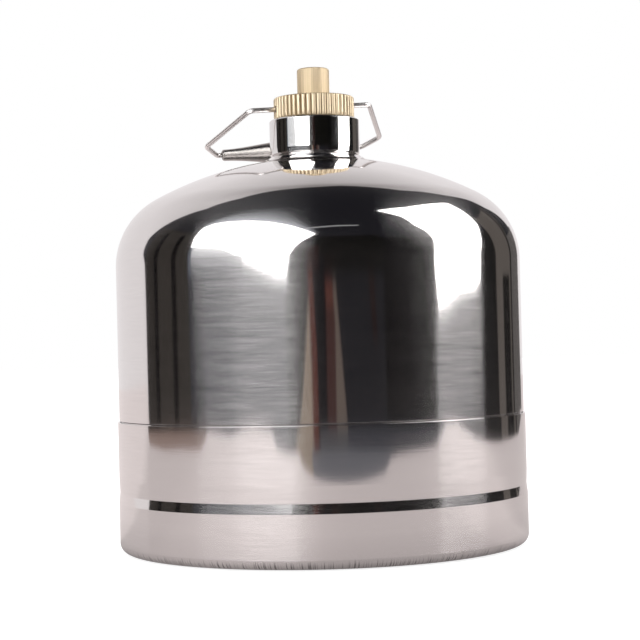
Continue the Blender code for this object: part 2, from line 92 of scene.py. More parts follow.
GAP = 0.3 * MM
STEEL = 0.8 * MM
CHAMFER = 0.5 * MM
FINE = 0.12 * MM
SKIRT_SWELL = 0.15 * MM
LAP_STEP = 0.55 * MM
LOWER_RADIUS = BODY_FOOT_RADIUS - SKIRT_SWELL
BODY_RADIUS = LOWER_RADIUS - LAP_STEP
LAP_RADIUS = LOWER_RADIUS - STEEL - GAP
SHOULDER_START = 104.4 * MM
SHOULDER_RADIUS = 27.8 * MM
CROWN_RADIUS = 128.9 * MM
FLARE_RADIUS = 12.9 * MM
FLARE_LIP = 0.7 * MM
SPIGOT_RADIUS = COLLAR_RADIUS - 1.6 * MM
COLLAR_BOTTOM = FLARE_TOP + GAP
CAP_FLANGE_BOTTOM = COLLAR_TOP + GAP
CAP_FLANGE_TOP = CAP_FLANGE_BOTTOM + 8.0 * MM
print(f"body radius {BODY_RADIUS / MM:.2f} mm, cap top {CAP_TOP / MM:.1f} mm")

# %% [markdown]
# ## Outlines
#
# A real edge is never sharp. An outline is written as its corners, and any corner may carry a
# third number, the radius of its rounding. `outline` swaps such a corner for a short arc. A
# Bevel modifier could round the finished mesh instead, but rounding the outline first keeps each
# ring of the mesh even, and even rings mirror a studio without ripples.

# %% Arcs and rounded outlines
def arc(centre, radius, start, end, steps):
    """Points on a circle of an outline, from one angle to another."""
    angles = np.linspace(start, end, steps + 1)
    return [(centre[0] + radius * math.cos(a), centre[1] + radius * math.sin(a)) for a in angles]


def round_corner(before, corner, after, radius, steps):
    """The arc that replaces one corner of a path."""
    back = (before - corner).normalized()
    ahead = (after - corner).normalized()
    half = 0.5 * back.angle(ahead)
    middle = corner + (back + ahead).normalized() * (radius / math.sin(half))
    first = corner + back * (radius / math.tan(half)) - middle
    last = corner + ahead * (radius / math.tan(half)) - middle
    return [middle + first.slerp(last, i / steps) * radius for i in range(steps + 1)]


def outline(corners, closed=False, steps=6):
    """Points through (radius, height) corners; a third number rounds that corner."""
    places = [Vector((c[0], 0.0, c[1])) for c in corners]
    points = []
    for i, corner in enumerate(corners):
        made = [places[i]]
        if len(corner) > 2 and (closed or 0 < i < len(corners) - 1):
            after = places[(i + 1) % len(places)]
            made = round_corner(places[i - 1], places[i], after, corner[2], steps)
        points += [(p.x, p.z) for p in made]
    return points


def between(first, second, count):
    """Evenly spaced points on a straight stretch."""
    return [tuple(p) for p in np.linspace(first, second, count)]


print("points on a rounded corner:", len(outline([(0.0, 0.0), (1.0, 0.0, 0.2), (1.0, 1.0)])) - 2)

# %% [markdown]
# ## Flat faces that stay flat
#
# Where a large face meets a small rounding, plain smooth shading bends the light over the whole
# large face. The Weighted Normal modifier lets the large face win, so the wall of the canister
# stays straight in its reflections and only the rounding turns.

# %% Weighted normals
def weigh_normals(item):
    """Let large faces keep their own direction where they meet small ones."""
    weighted = item.modifiers.new("weighted normals", "WEIGHTED_NORMAL")
    weighted.mode = "FACE_AREA"
    weighted.weight = 100
    return item


# %% [markdown]
# ## The lathe
#
# Most of this object was made on a lathe or a spinning former, so most of it is an outline spun
# about the vertical axis. Blender's Screw modifier can do that. A small function is used here
# instead because a thread and a knurl are almost turned too: their radius changes with the angle.
# `spin` takes a rule for that and stays one closed mesh.

# %% Spin an outline
def mesh_object(name, points, faces):
    """A smooth mesh object in the scene."""
    mesh = bpy.data.meshes.new(name)
    mesh.from_pydata([tuple(p) for p in points], [], faces)
    mesh.shade_smooth()
    item = bpy.data.objects.new(name, mesh)
    bpy.context.scene.collection.objects.link(item)
    return item


def spin(name, points, steps=256, closed=False, cut=None):
    """Spin outline points about the Z axis; cut(radius, height, angle) may change the radius."""
    radii, heights = np.array(points).T
    angles = np.arange(steps)[:, None] * math.tau / steps
    spun = cut(radii[None, :], heights[None, :], angles) if cut else radii[None, :]
    spun = np.broadcast_to(spun, (steps, len(points)))
    heights = np.broadcast_to(heights, spun.shape)
    grid = np.stack([spun * np.cos(angles), spun * np.sin(angles), heights], axis=2)
    index, places = {}, []
    for j, radius in enumerate(radii):
        on_axis = radius < 1e-9 and j in (0, len(points) - 1)
        for i in range(steps):
            if on_axis and i:
                index[i, j] = index[0, j]
                continue
            index[i, j] = len(places)
            places.append(grid[i, j])
    faces = []
    for j in range(len(points) if closed else len(points) - 1):
        after = (j + 1) % len(points)
        for i in range(steps):
            ahead = (i + 1) % steps
            ring = [index[i, j], index[i, after], index[ahead, after], index[ahead, j]]
            faces.append(list(dict.fromkeys(ring)))
    item = mesh_object(name, places, faces)
    shape = bmesh.new()
    shape.from_mesh(item.data)
    bmesh.ops.recalc_face_normals(shape, faces=shape.faces)
    shape.to_mesh(item.data)
    shape.free()
    return weigh_normals(item)


def settle(item, finish, body, node):
    """Give a piece its finish, its body and the model's piece that it stands for."""
    item.data.materials.clear()
    item.data.materials.append(finish)
    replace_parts(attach(item, body), node)
    print(f"{item.name}: {len(item.data.vertices)} points, moves with {body}")
    return item


# %% [markdown]
# ## Shader maths as plain expressions
#
# A finish is easier to read as `height * 3 + 1` than as a chain of nodes. `Field` wraps one
# output socket, and each operator on it adds the Math node that does the sum. Everything that
# isn't a sum comes from one method, `node`, which takes the node's type, its settings and what
# its sockets hold. Colours never pass through a Math node, since that would turn them grey.

# %% Field
def operator(operation, reflected=False):
    """A method of Field that adds one kind of Math node."""
    def method(self, other):
        return self.math(operation, *((other, self) if reflected else (self, other)))
    return method


class Field:
    """An output socket that can be used in sums."""

    def __init__(self, finish, socket):
        self.finish = finish
        self.socket = socket

    def math(self, operation, *values):
        return self.finish.node("ShaderNodeMath", {"operation": operation}, values)

    def output(self, name):
        """Another output of the node that this field comes from."""
        return Field(self.finish, self.socket.node.outputs[name])

    __add__ = __radd__ = operator("ADD")
    __mul__ = __rmul__ = operator("MULTIPLY")
    __sub__, __rsub__ = operator("SUBTRACT"), operator("SUBTRACT", reflected=True)
    __truediv__, __rtruediv__ = operator("DIVIDE"), operator("DIVIDE", reflected=True)
    __pow__, __rpow__ = operator("POWER"), operator("POWER", reflected=True)


# %% Finish
class Finish:
    """One material, or the world, and the nodes that make it."""

    def __init__(self, owner):
        owner.use_nodes = True
        self.owner = owner
        self.tree = owner.node_tree
        self.tree.nodes.clear()

    def node(self, kind, settings=None, sockets=()):
        """Add a node: its settings first, then the value or the link of each socket."""
        made = self.tree.nodes.new(kind)
        for name, value in (settings or {}).items():
            if name == "stops":
                ramp = made.color_ramp.elements
                while len(ramp) < len(value):
                    ramp.new(0.5)
                for stop, (position, grey) in zip(ramp, value):
                    stop.position = position
                    stop.color = (grey, grey, grey, 1.0)
            else:
                setattr(made, name, value)
        for name, value in sockets.items() if isinstance(sockets, dict) else enumerate(sockets):
            socket = made.inputs[name]
            if isinstance(value, Field):
                self.tree.links.new(value.socket, socket)
            else:
                socket.default_value = (*value, 1.0) if socket.type == "RGBA" else value
        return Field(self, made.outputs[0]) if made.outputs else None

    def position(self):
        """The position on the piece, in metres."""
        return self.node("ShaderNodeTexCoord").output("Object")

    def place(self):
        """x, y and z on the piece, and the distance from its axis, in metres."""
        split = self.node("ShaderNodeSeparateXYZ", None, [self.position()])
        x, y, z = (split.output(name) for name in "XYZ")
        return x, y, z, (x * x + y * y) ** 0.5 + TINY

    def noise(self, vector, scale=1.0, detail=2.0, roughness=0.5):
        return self.node("ShaderNodeTexNoise", None, {
            "Vector": vector, "Scale": scale, "Detail": detail, "Roughness": roughness})

    def round_noise(self, place, marks, height, detail=2.0, roughness=0.5):
        """Noise over the direction round the axis, with so many marks to a radian, and a height."""
        x, y, _, radius = place
        turned = self.node("ShaderNodeCombineXYZ", None, [x / radius * marks, y / radius * marks, height])
        return self.noise(turned, 1.0, detail, roughness)

    def ramp(self, value, *stops):
        return self.node("ShaderNodeValToRGB", {"stops": stops}, [value])

    def blend(self, share, first, second):
        """A colour between two colours."""
        return self.node("ShaderNodeMix", {"data_type": "RGBA"}, {0: share, 6: first, 7: second}).output(2)

    def bump(self, height, strength, distance):
        return self.node("ShaderNodeBump", None, {
            "Height": height, "Strength": strength, "Distance": distance})

    def principled(self, colour, roughness, normal, more=None):
        """A Principled shader, of metal unless `more` says otherwise."""
        return self.node("ShaderNodeBsdfPrincipled", None, {
            "Base Color": colour, "Metallic": 1.0, "Roughness": roughness, "Normal": normal, **(more or {})})

    def surface(self, shader):
        """Show a shader, and return the material or the world."""
        world = isinstance(self.owner, bpy.types.World)
        self.node("ShaderNodeOutputWorld" if world else "ShaderNodeOutputMaterial", None, {"Surface": shader})
        return self.owner

    def glow(self, colour, strength=1.0):
        """Show an even light of its own."""
        return self.surface(self.node("ShaderNodeEmission", None, [colour, strength]))


def new_finish(name):
    return Finish(bpy.data.materials.new(name))


def dimmed(colour, share):
    """A colour at a share of its brightness."""
    return tuple(share * c for c in colour)


# %% [markdown]
# ## Round the axis
#
# Turned and spun metal carries its marks in rings. Noise is laid on the ring direction, which
# has no start or end, and on a path that runs along the outline. Squeezing the noise along the
# rings and stretching it across them draws it out into fine hoops, as abrasive paper held against
# a spinning vessel does.

# %% Ring noise
def ring_noise(finish, across, along, detail=2.0, roughness=0.5):
    """Noise with marks `across` metres wide and about `along` radians long round the Z axis."""
    place = finish.place()
    _, _, z, radius = place
    return finish.round_noise(place, 1.0 / along, (z - radius) / across, detail, roughness)


# %% [markdown]
# ## Steel that was spun and polished
#
# The vessel was polished on a lathe: sharp sideways, smeared up and down. Two Principled shaders
# do that together. One is nearly a mirror. The other is a broad, one-way haze whose long axis
# runs up the wall, so bright panels in the studio trail down it as grey columns. Blender measures
# that axis from the direction round Z, so a quarter turn stands it upright. A Mix Shader sets how
# much haze there is, and fine hoops vary it, so the brushing shows only where light is smeared.
# A single shader of middling roughness would blur the panels in all directions and look like
# satin. Up by the neck the spinning tool burnished the metal, and the haze fades. The haze also
# leans a little upwards, away from the pale table. That isn't a law of metal but a choice, which
# keeps the dark reflections as deep as they are in the photo.

# %% Brushed and polished steel
STEEL_COLOUR = (0.78, 0.755, 0.75)
HAZE_LEAN = 0.10
UPRIGHT_SMEAR = {"Anisotropic": 1.0, "Anisotropic Rotation": 0.25}


def polished_steel(name, haze=0.118, polish=0.06, neck_haze=0.12, colour=STEEL_COLOUR, foot_marks=False):
    """Polished steel with a haze that smears reflections up and down."""
    finish = new_finish(name)
    hoops = finish.ramp(ring_noise(finish, 0.50 * MM, 0.20, 3.0, 0.7), (0.32, 0.0), (0.68, 1.0))
    bands = ring_noise(finish, 3.0 * MM, 1.2)
    patches = finish.noise(finish.position(), 38.0, 3.0, 0.55)
    spun = finish.ramp(finish.place()[3] / BODY_RADIUS, (0.68, neck_haze), (0.92, 1.0))
    grain = 0.66 + hoops * 0.68 + (bands - 0.5) * 0.5 + (patches - 0.5) * 0.3
    tint = finish.blend(hoops * spun + (1.0 - spun), dimmed(colour, 0.955), colour)
    if foot_marks:
        tint = crimp_marks(finish, tint)
    normal = finish.bump(hoops, 0.025, 0.02 * MM)
    leaning = finish.node("ShaderNodeVectorMath", {"operation": "ADD"}, [normal, (0.0, 0.0, HAZE_LEAN)])
    leaning = finish.node("ShaderNodeVectorMath", {"operation": "NORMALIZE"}, [leaning])
    mirror = finish.principled(tint, polish + (bands - 0.5) * 0.02, normal)
    smear = finish.principled(tint, 0.25 + (patches - 0.5) * 0.04, leaning, UPRIGHT_SMEAR)
    return finish.surface(finish.node("ShaderNodeMixShader", None, [grain * spun * haze, mirror, smear]))


def crimp_marks(finish, colour):
    """Short upright nicks that the closing press leaves just above the foot."""
    place = finish.place()
    z = place[2]
    nicks = finish.ramp(finish.round_noise(place, 150.0, z * 40.0, 1.0, 0.6), (0.52, 0.0), (0.62, 1.0))
    ragged = finish.round_noise(place, 60.0, 0.0, 2.0, 0.6)
    where = finish.ramp(z / (7.0 * MM) + (ragged - 0.5) * 0.5, (0.16, 1.0), (0.42, 0.0))
    return finish.blend(nicks * where * 0.7, colour, (0.20, 0.19, 0.19))


# %% [markdown]
# ## The upper shell
#
# The crown, the shoulder and the wall are one pressing. The flare at the top is a hollow curve
# that touches the crown and rises to the collar, and its centre is worked out from those two
# conditions. At the seam the wall steps in by little more than its own thickness, so that the
# lower shell can lap over it.

# %% Shape the upper shell
NECK_HOLE = SPIGOT_RADIUS + GAP
BEND_ROUNDING = 0.08 * MM
LAP_BEND = 0.30 * MM
CROWN_CENTRE = SHOULDER_START - math.sqrt(
    (CROWN_RADIUS - SHOULDER_RADIUS) ** 2 - (BODY_RADIUS - SHOULDER_RADIUS) ** 2)


def flare_centre():
    """Middle of the hollow curve, which touches the crown and ends at the collar's foot."""
    foot = Vector((NECK_HOLE + FLARE_LIP, FLARE_TOP - CROWN_CENTRE))
    span = CROWN_RADIUS + FLARE_RADIUS
    along = (foot.length_squared + span**2 - FLARE_RADIUS**2) / (2.0 * foot.length)
    unit = foot.normalized()
    centre = unit * along + Vector((unit.y, -unit.x)) * math.sqrt(span**2 - along**2)
    return centre.x, centre.y + CROWN_CENTRE


def upper_skin(inset):
    """One side of the upper shell's sheet, the outer one at inset 0, from neck to lap."""
    centre = flare_centre()
    foot = Vector((NECK_HOLE + FLARE_LIP - centre[0], FLARE_TOP - centre[1]))
    lift = math.atan2(centre[1] - CROWN_CENTRE, centre[0])
    join = math.acos((BODY_RADIUS - SHOULDER_RADIUS) / (CROWN_RADIUS - SHOULDER_RADIUS))
    shoulder = (BODY_RADIUS - SHOULDER_RADIUS, SHOULDER_START)
    wall, lap, step_foot = BODY_RADIUS - inset, LAP_RADIUS - inset, SEAM_HEIGHT + GAP
    skin = [(NECK_HOLE, FLARE_TOP - inset)]
    skin += arc(centre, FLARE_RADIUS + inset, math.atan2(foot.y, foot.x), lift - math.pi, 24)
    skin += arc((0.0, CROWN_CENTRE), CROWN_RADIUS - inset, lift, join, 48)[1:]
    skin += arc(shoulder, SHOULDER_RADIUS - inset, join, 0.0, 48)[1:]
    return skin + outline([(wall, SHOULDER_START), (wall, step_foot + LAP_BEND, BEND_ROUNDING),
                           (lap, step_foot, BEND_ROUNDING), (lap, LAP_BOTTOM)])[1:]


dome = spin("dome", upper_skin(0.0) + upper_skin(STEEL)[::-1], closed=True)
settle(dome, polished_steel("spun_steel"), "vessel", "upper_shell")

# %% [markdown]
# ## The lower shell
#
# A shallow taper leads down to a rolled groove, and the groove's lower flank faces a little
# upwards. That small tilt is all it takes: the flank mirrors the dark room above while the wall
# round it mirrors the pale table. The black line on the canister is a reflection, not paint.

# %% Shape the lower shell
GROOVE_TAPER_TOP = 27.0 * MM
TAPER_ROUNDING = 40.0 * MM
GROOVE_WAIST = 22.0 * MM
GROOVE_FOOT = 18.6 * MM
GROOVE_DEPTH = 0.22 * MM
GROOVE_ROUNDING = 1.0 * MM
FOOT_CORNER = 3.5 * MM
FOOT_WIDTH = 7.5 * MM


def lower_skin(inset):
    """One side of the lower shell's sheet, the outer one at inset 0, from seam to foot."""
    return [
        (LOWER_RADIUS - inset, SEAM_HEIGHT, BEND_ROUNDING),
        (LOWER_RADIUS - inset, GROOVE_TAPER_TOP, TAPER_ROUNDING),
        (LOWER_RADIUS - inset - GROOVE_DEPTH, GROOVE_WAIST, GROOVE_ROUNDING),
        (BODY_FOOT_RADIUS - inset, GROOVE_FOOT, GROOVE_ROUNDING),
        (BODY_FOOT_RADIUS - inset, inset, FOOT_CORNER - inset),
        (BODY_FOOT_RADIUS - FOOT_CORNER - FOOT_WIDTH, inset, BEND_ROUNDING),
    ]


lower_skins = outline(lower_skin(0.0) + lower_skin(STEEL)[::-1], closed=True, steps=12)
skirt_finish = polished_steel("spun_steel_with_crimp", foot_marks=True)
settle(spin("skirt", lower_skins, closed=True), skirt_finish, "vessel", "lower_shell")

# %% [markdown]
# ## Simple finishes
#
# The small parts each keep a mark of their own: turned rings on brass, a faint mottle on wire, a
# dull bloom on rubber, and a satin face on the base. One function makes each, and its numbers say
# how strong the mark is.

# %% Turned metal, drawn wire and rubber
def turned_metal(name, colour, roughness, ring=0.25 * MM, strength=0.3):
    """Metal off a lathe, with fine rings and a little tarnish in them."""
    finish = new_finish(name)
    rings = ring_noise(finish, ring, 0.9, roughness=0.6)
    cloud = finish.noise(finish.position(), 160.0, 3.0, 0.6)
    worn = finish.ramp(cloud, (0.35, 0.0), (0.7, 1.0))
    roughness = roughness + (cloud - 0.5) * 0.12 + (rings - 0.5) * 0.10
    return finish.surface(finish.principled(
        finish.blend(worn, dimmed(colour, 0.9), colour), roughness, finish.bump(rings, strength, 0.03 * MM)))


def drawn_wire(name, colour, roughness):
    """Drawn wire, clean, with a faint mottle."""
    finish = new_finish(name)
    mottle = finish.noise(finish.position(), 400.0)
    return finish.surface(finish.principled(
        finish.blend(mottle, dimmed(colour, 0.92), colour), roughness + (mottle - 0.5) * 0.06,
        finish.bump(mottle, 0.015, 0.02 * MM)))


def rubber(name):
    """Black nitrile rubber with a dry bloom."""
    finish = new_finish(name)
    bloom = finish.noise(finish.position(), 900.0, 4.0, 0.6)
    return finish.surface(finish.principled(
        finish.blend(bloom, (0.012, 0.012, 0.013), (0.035, 0.035, 0.036)), 0.55 + bloom * 0.25,
        finish.bump(bloom, 0.2, 0.03 * MM), {"Metallic": 0.0}))


BRASS = (0.78, 0.645, 0.43)
WIRE_STEEL = (0.90, 0.87, 0.855)
SPRING_STEEL = (0.50, 0.50, 0.52)
GRIP_STEEL = (0.56, 0.53, 0.51)
BASE_STEEL = (0.62, 0.61, 0.60)
COLLAR_STEEL = (0.80, 0.79, 0.78)
valve_brass = turned_metal("turned_valve_brass", BRASS, 0.24)
seal_rubber = rubber("nitrile_rubber")
print("nodes in the brass:", len(valve_brass.node_tree.nodes))

# %% [markdown]
# ## Base, collar and O-ring
#
# The base is a dish pressed upwards, so that the canister stands on its rim alone. The collar is
# turned from bar, polished bright, and welded into the top. Its small chamfers catch the light as
# thin lines, so they keep their real half millimetre. Its foot is drawn in by a sixth of one,
# which leaves the thin dark line where it meets the flare.

# %% Shape the base
def base_outline():
    """The pressed dish, both of its sides."""
    edge, bottom, top = reach("base_panel")
    rim = edge - 6.0 * MM
    rise = top - bottom - STEEL
    radius = (rim**2 + rise**2) / (2.0 * rise)
    slope = math.asin(rim / radius)
    both = []
    for inset, flip in ((0.0, 1), (STEEL, -1)):
        side = arc((0.0, top - radius), radius - inset, 0.5 * math.pi, 0.5 * math.pi - slope, 40)
        side[0] = (0.0, top - inset)
        side.append((edge, bottom + STEEL - inset))
        both += side[::flip]
    return both


base_finish = turned_metal("pressed_base_steel", BASE_STEEL, 0.34, 0.6 * MM, 0.25)
settle(spin("base_dish", base_outline(), 192), base_finish, "vessel", "base_panel")

# %% Shape the collar and its O-ring
ORING_CORD = 0.7 * MM
ORING_RADIUS = reach("valve_oring")[0] - ORING_CORD
WELL_FLOOR = COLLAR_TOP - 7.8 * MM
WELL_RADIUS = COLLAR_RADIUS - 3.0 * MM
WELL_ROUNDING = 0.4 * MM
SHANK_RADIUS = VALVE_FLANGE_RADIUS - 3.4 * MM
FOOT_TAPER, FOOT_CURVE, FOOT_DRAWN_IN, FOOT_ROUNDING = 1.9 * MM, 3.0 * MM, 0.16 * MM, 0.20 * MM
shank_hole = SHANK_RADIUS + GAP
groove_in, groove_out = ORING_RADIUS - (ORING_CORD + GAP), ORING_RADIUS + (ORING_CORD + GAP)
groove_floor = WELL_FLOOR - 2.0 * ORING_CORD - GAP

collar_corners = [
    (COLLAR_RADIUS - CHAMFER, COLLAR_TOP, FINE), (COLLAR_RADIUS, COLLAR_TOP - CHAMFER, FINE),
    (COLLAR_RADIUS, COLLAR_BOTTOM + FOOT_TAPER, FOOT_CURVE),
    (COLLAR_RADIUS - FOOT_DRAWN_IN, COLLAR_BOTTOM, FOOT_ROUNDING),
    (SPIGOT_RADIUS, COLLAR_BOTTOM), (SPIGOT_RADIUS, SPIGOT_BOTTOM, FINE),
    (shank_hole, SPIGOT_BOTTOM, FINE), (shank_hole, WELL_FLOOR, FINE),
    (groove_in, WELL_FLOOR, FINE), (groove_in, groove_floor),
    (groove_out, groove_floor), (groove_out, WELL_FLOOR, FINE),
    (WELL_RADIUS, WELL_FLOOR, WELL_ROUNDING), (WELL_RADIUS, COLLAR_TOP - CHAMFER, FINE),
    (WELL_RADIUS + CHAMFER, COLLAR_TOP, FINE)]
collar = spin("neck_ring", outline(collar_corners, closed=True, steps=8), closed=True)
collar_finish = polished_steel("bright_turned_steel", 0.06, 0.05, 1.0, COLLAR_STEEL)
settle(collar, collar_finish, "vessel", "neck_collar")

section = arc((ORING_RADIUS, WELL_FLOOR - ORING_CORD), ORING_CORD, 0.0, -math.tau, 24)[:-1]
settle(spin("o_ring", section, 128, closed=True), seal_rubber, "vessel", "valve_oring")

# %% [markdown]
# ## The valve and its thread
#
# The stud carries the thread that a stove screws onto, 28 turns to the inch. A thread is a ramp
# wound round a rod: the depth at any point depends on the height minus one pitch for each turn
# of the angle. The rule below cuts that V into the spun radius, and fades it out at both ends
# as a real die does.

# %% Shape the valve body
PITCH = 25.4 * MM / 28.0
STUD_RADIUS = 5.56 * MM
STUD_MOUTH = STUD_RADIUS - 2.36 * MM
THREAD_DEPTH = 0.56 * MM
VALVE_SEAT = WELL_FLOOR + GAP
VALVE_FLANGE_TOP = VALVE_SEAT + 2.5 * MM
STEM_BORE = 2.1 * MM
CHAMBER_RADIUS = 4.6 * MM
TAIL_RADIUS = CHAMBER_RADIUS + 2.0 * MM
SEAT_HEIGHT = STUD_TOP - 13.0 * MM
BORE_TOP = STUD_TOP - 2.0 * MM


def thread(low, high, radius, depth, outside):
    """A rule for spin that cuts a right-hand thread between two heights."""
    def cut(radii, heights, angles):
        phase = np.mod(heights / PITCH - angles / math.tau, 1.0)
        flank = np.clip((0.9 - np.abs(2.0 * phase - 1.0)) / 0.8, 0.0, 1.0)
        fade = np.clip((heights - low) / PITCH, 0.0, 1.0) * np.clip((high - heights) / PITCH, 0.0, 1.0)
        change = depth * flank * fade * (np.abs(radii - radius) < 1e-5)
        return radii - change if outside else radii + change
    return cut


stud_low, stud_high = VALVE_FLANGE_TOP + CHAMFER, STUD_TOP - CHAMFER
valve_points = [(STUD_MOUTH, STUD_TOP), (STUD_RADIUS - CHAMFER, STUD_TOP)]
valve_points += between((STUD_RADIUS, stud_high), (STUD_RADIUS, stud_low), 110)
valve_points += outline([
    (STUD_RADIUS, stud_low), (STUD_RADIUS, VALVE_FLANGE_TOP, 0.2 * MM),
    (VALVE_FLANGE_RADIUS, VALVE_FLANGE_TOP, 0.3 * MM), (VALVE_FLANGE_RADIUS, VALVE_SEAT, 0.3 * MM),
    (SHANK_RADIUS, VALVE_SEAT, FINE), (SHANK_RADIUS, SPIGOT_BOTTOM, FINE),
    (TAIL_RADIUS, SPIGOT_BOTTOM, FINE), (TAIL_RADIUS, VALVE_BOTTOM, 0.4 * MM),
    (CHAMBER_RADIUS, VALVE_BOTTOM, 0.2 * MM), (CHAMBER_RADIUS, SEAT_HEIGHT, FINE),
    (STEM_BORE, SEAT_HEIGHT, 0.2 * MM), (STEM_BORE, BORE_TOP)])[1:]
stud_thread = thread(VALVE_FLANGE_TOP + 0.6 * MM, STUD_TOP - 0.1 * MM, STUD_RADIUS, THREAD_DEPTH, True)
settle(spin("valve_with_stud", valve_points, 144, closed=True, cut=stud_thread),
       valve_brass, "vessel", "valve_body")
print(f"thread: {(stud_high - stud_low) / PITCH:.1f} turns on the stud")

# %% [markdown]
# ## Inside the valve
#
# Under the stud a pin with a poppet head closes the canister, pushed up by a spring that a
# threaded ring holds in. They are hidden when the cap is on, but the model comes apart, so they
# are made as finely as the rest.

# %% Shape stem, seals and retainer
CAP_BORE = STUD_RADIUS + GAP
STEM_RADIUS = 1.6 * MM
for name, node, rounding, inner, finish, body, slot in (
    ("stem_washer", "stem_seal", 0.2 * MM, STEM_RADIUS + GAP, seal_rubber, "stem", "seal_rubber"),
    ("cap_washer", "cap_seal", 0.25 * MM, CAP_BORE, seal_rubber, "cap_seal", "seal_rubber"),
    ("spring_ring", "spring_retainer", 0.15 * MM, 2.0 * MM, valve_brass, "vessel", "valve_brass"),
):
    outer, low, high = reach(node)
    ring = [(outer, high), (outer, low), (inner, low), (inner, high)]
    rounded = outline([(*corner, rounding) for corner in ring], closed=True)
    settle(spin(name, rounded, 128, closed=True), finish, body, node)

poppet, guide_bottom, stem_top = reach("valve_stem")
POPPET_TOP = SEAT_HEIGHT - 2.0 * GAP - 1.5 * MM
POPPET_BOTTOM = POPPET_TOP - 2.0 * MM
SPRING_WIRE = 0.35 * MM
SPRING_COIL = CHAMBER_RADIUS - 1.7 * MM
GUIDE_RADIUS = SPRING_COIL - SPRING_WIRE - 0.5 * MM
stem_points = outline([
    (0.0, stem_top), (STEM_RADIUS, stem_top, 0.5 * MM), (STEM_RADIUS, POPPET_TOP, FINE),
    (poppet, POPPET_TOP, 0.3 * MM), (poppet, POPPET_BOTTOM, 0.3 * MM), (GUIDE_RADIUS, POPPET_BOTTOM, FINE),
    (GUIDE_RADIUS, guide_bottom, 0.4 * MM), (0.0, guide_bottom)])
settle(spin("stem_pin", stem_points, 96), valve_brass, "stem", "valve_stem")

# %% [markdown]
# ## Wire
#
# A curve with a round bevel is the usual way to draw wire. Here a tube is swept in code, because
# the same function then draws the bail, the spring and the grip, closes each end with a small
# dome, and keeps every ring of the tube square to the path.

# %% Sweep a tube along a path
def net(rows, columns, closed=False):
    """Faces between rows of points; closed joins each row's last point to its first."""
    return [(j * columns + i, j * columns + (i + 1) % columns,
             (j + 1) * columns + (i + 1) % columns, (j + 1) * columns + i)
            for j in range(rows - 1) for i in range(columns if closed else columns - 1)]


def tube(name, path, radius, sides=12, dome=3):
    """A wire along a path of points, with domed ends."""
    path = [Vector(p) for p in path]
    steps = [(b - a).normalized() for a, b in zip(path, path[1:])]
    tangents = [steps[0]] + [(a + b).normalized() for a, b in zip(steps, steps[1:])] + [steps[-1]]
    side = tangents[0].orthogonal().normalized()
    rings = []
    for i, (point, tangent) in enumerate(zip(path, tangents)):
        if i:
            side = tangents[i - 1].rotation_difference(tangent) @ side
        side = (side - tangent * side.dot(tangent)).normalized()
        rings.append((point, side, tangent.cross(side), radius))

    def domed(point, outward, ring):
        """Rings that close in beyond one end."""
        turns = [0.5 * math.pi * k / (dome + 1) for k in range(1, dome + 1)]
        return [(point + outward * radius * 0.5 * math.sin(turn), *ring[1:3], radius * math.cos(turn))
                for turn in turns]

    rings = domed(path[0], -steps[0], rings[0])[::-1] + rings + domed(path[-1], steps[-1], rings[-1])
    turns = [math.tau * k / sides for k in range(sides)]
    places = [point + (side * math.cos(turn) + across * math.sin(turn)) * width
              for point, side, across, width in rings for turn in turns]
    last = len(places) - sides
    ends = [tuple(range(sides))[::-1], tuple(range(last, last + sides))]
    return mesh_object(name, places, net(len(rings), sides, closed=True) + ends)


def helix(start, length, turns, points, radius_at):
    """Points of a coil along +X from start, whose radius follows the share of its length."""
    count = int(turns * points)
    path = []
    for i in range(count + 1):
        share, angle = i / count, math.tau * i / points
        radius = radius_at(share)
        path.append(start + Vector((share * length, radius * math.cos(angle), radius * math.sin(angle))))
    return path


# %% [markdown]
# ## The valve spring
#
# Six open turns under the poppet. It is a stretched helix of the wire's true diameter, and it
# sits between the ring below and the poppet above.

# %% Shape the spring
SPRING_TURNS = 6
_, spring_low, spring_high = reach("valve_spring")
wound_length = spring_high - spring_low - 2.0 * SPRING_WIRE
coil = helix(Vector(), wound_length, SPRING_TURNS, 36, lambda share: SPRING_COIL)
coil = [Vector((p.y, p.z, p.x + spring_low + SPRING_WIRE)) for p in coil]
spring = tube("poppet_spring", coil, SPRING_WIRE, 10)
settle(spring, drawn_wire("spring_wire", SPRING_STEEL, 0.3), "vessel", "valve_spring")
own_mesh(spring)

# %% [markdown]
# ## The cap
#
# The cap is turned from bar, then knurled with 48 straight ridges. Each ridge is round on top
# with a narrow root between, and the chamfer was turned afterwards, so it cuts the ridges into
# small scallops. Taking the smaller of the ridge's radius and the chamfer's radius gives just
# that. The cap is bored for the stud's thread, and drilled from both sides for the bail.

# %% Shape the cap
TEETH = 48
KNURL_DEPTH = 0.75 * MM
RIDGE_ROUNDNESS = 3.2
CAP_CHAMFER = 0.45 * MM
BOSS_RADIUS = 6.0 * MM
BOSS_ROUNDING = 0.25 * MM
CAP_SKIRT_RADIUS = CAP_BORE + 2.6 * MM
HEADROOM = STUD_TOP + 2.1 * MM


def knurl(radii, heights, angles):
    """Ridges round the flange, and the thread in the bore."""
    share = np.abs(np.mod(angles / math.tau * TEETH + 0.5, 1.0) - 0.5) * 2.0
    ridge = CAP_RADIUS - KNURL_DEPTH * share**RIDGE_ROUNDNESS
    rim = (heights > CAP_FLANGE_BOTTOM - TINY) & (heights < CAP_FLANGE_TOP + TINY)
    knurled = np.where(rim & (radii > CAP_RADIUS - CAP_CHAMFER - TINY), np.minimum(radii, ridge), radii)
    bore = thread(CAP_SKIRT_BOTTOM + 0.2 * MM, HEADROOM - 1.0 * MM, CAP_BORE, -THREAD_DEPTH * 0.4, False)
    return bore(knurled, heights, angles)


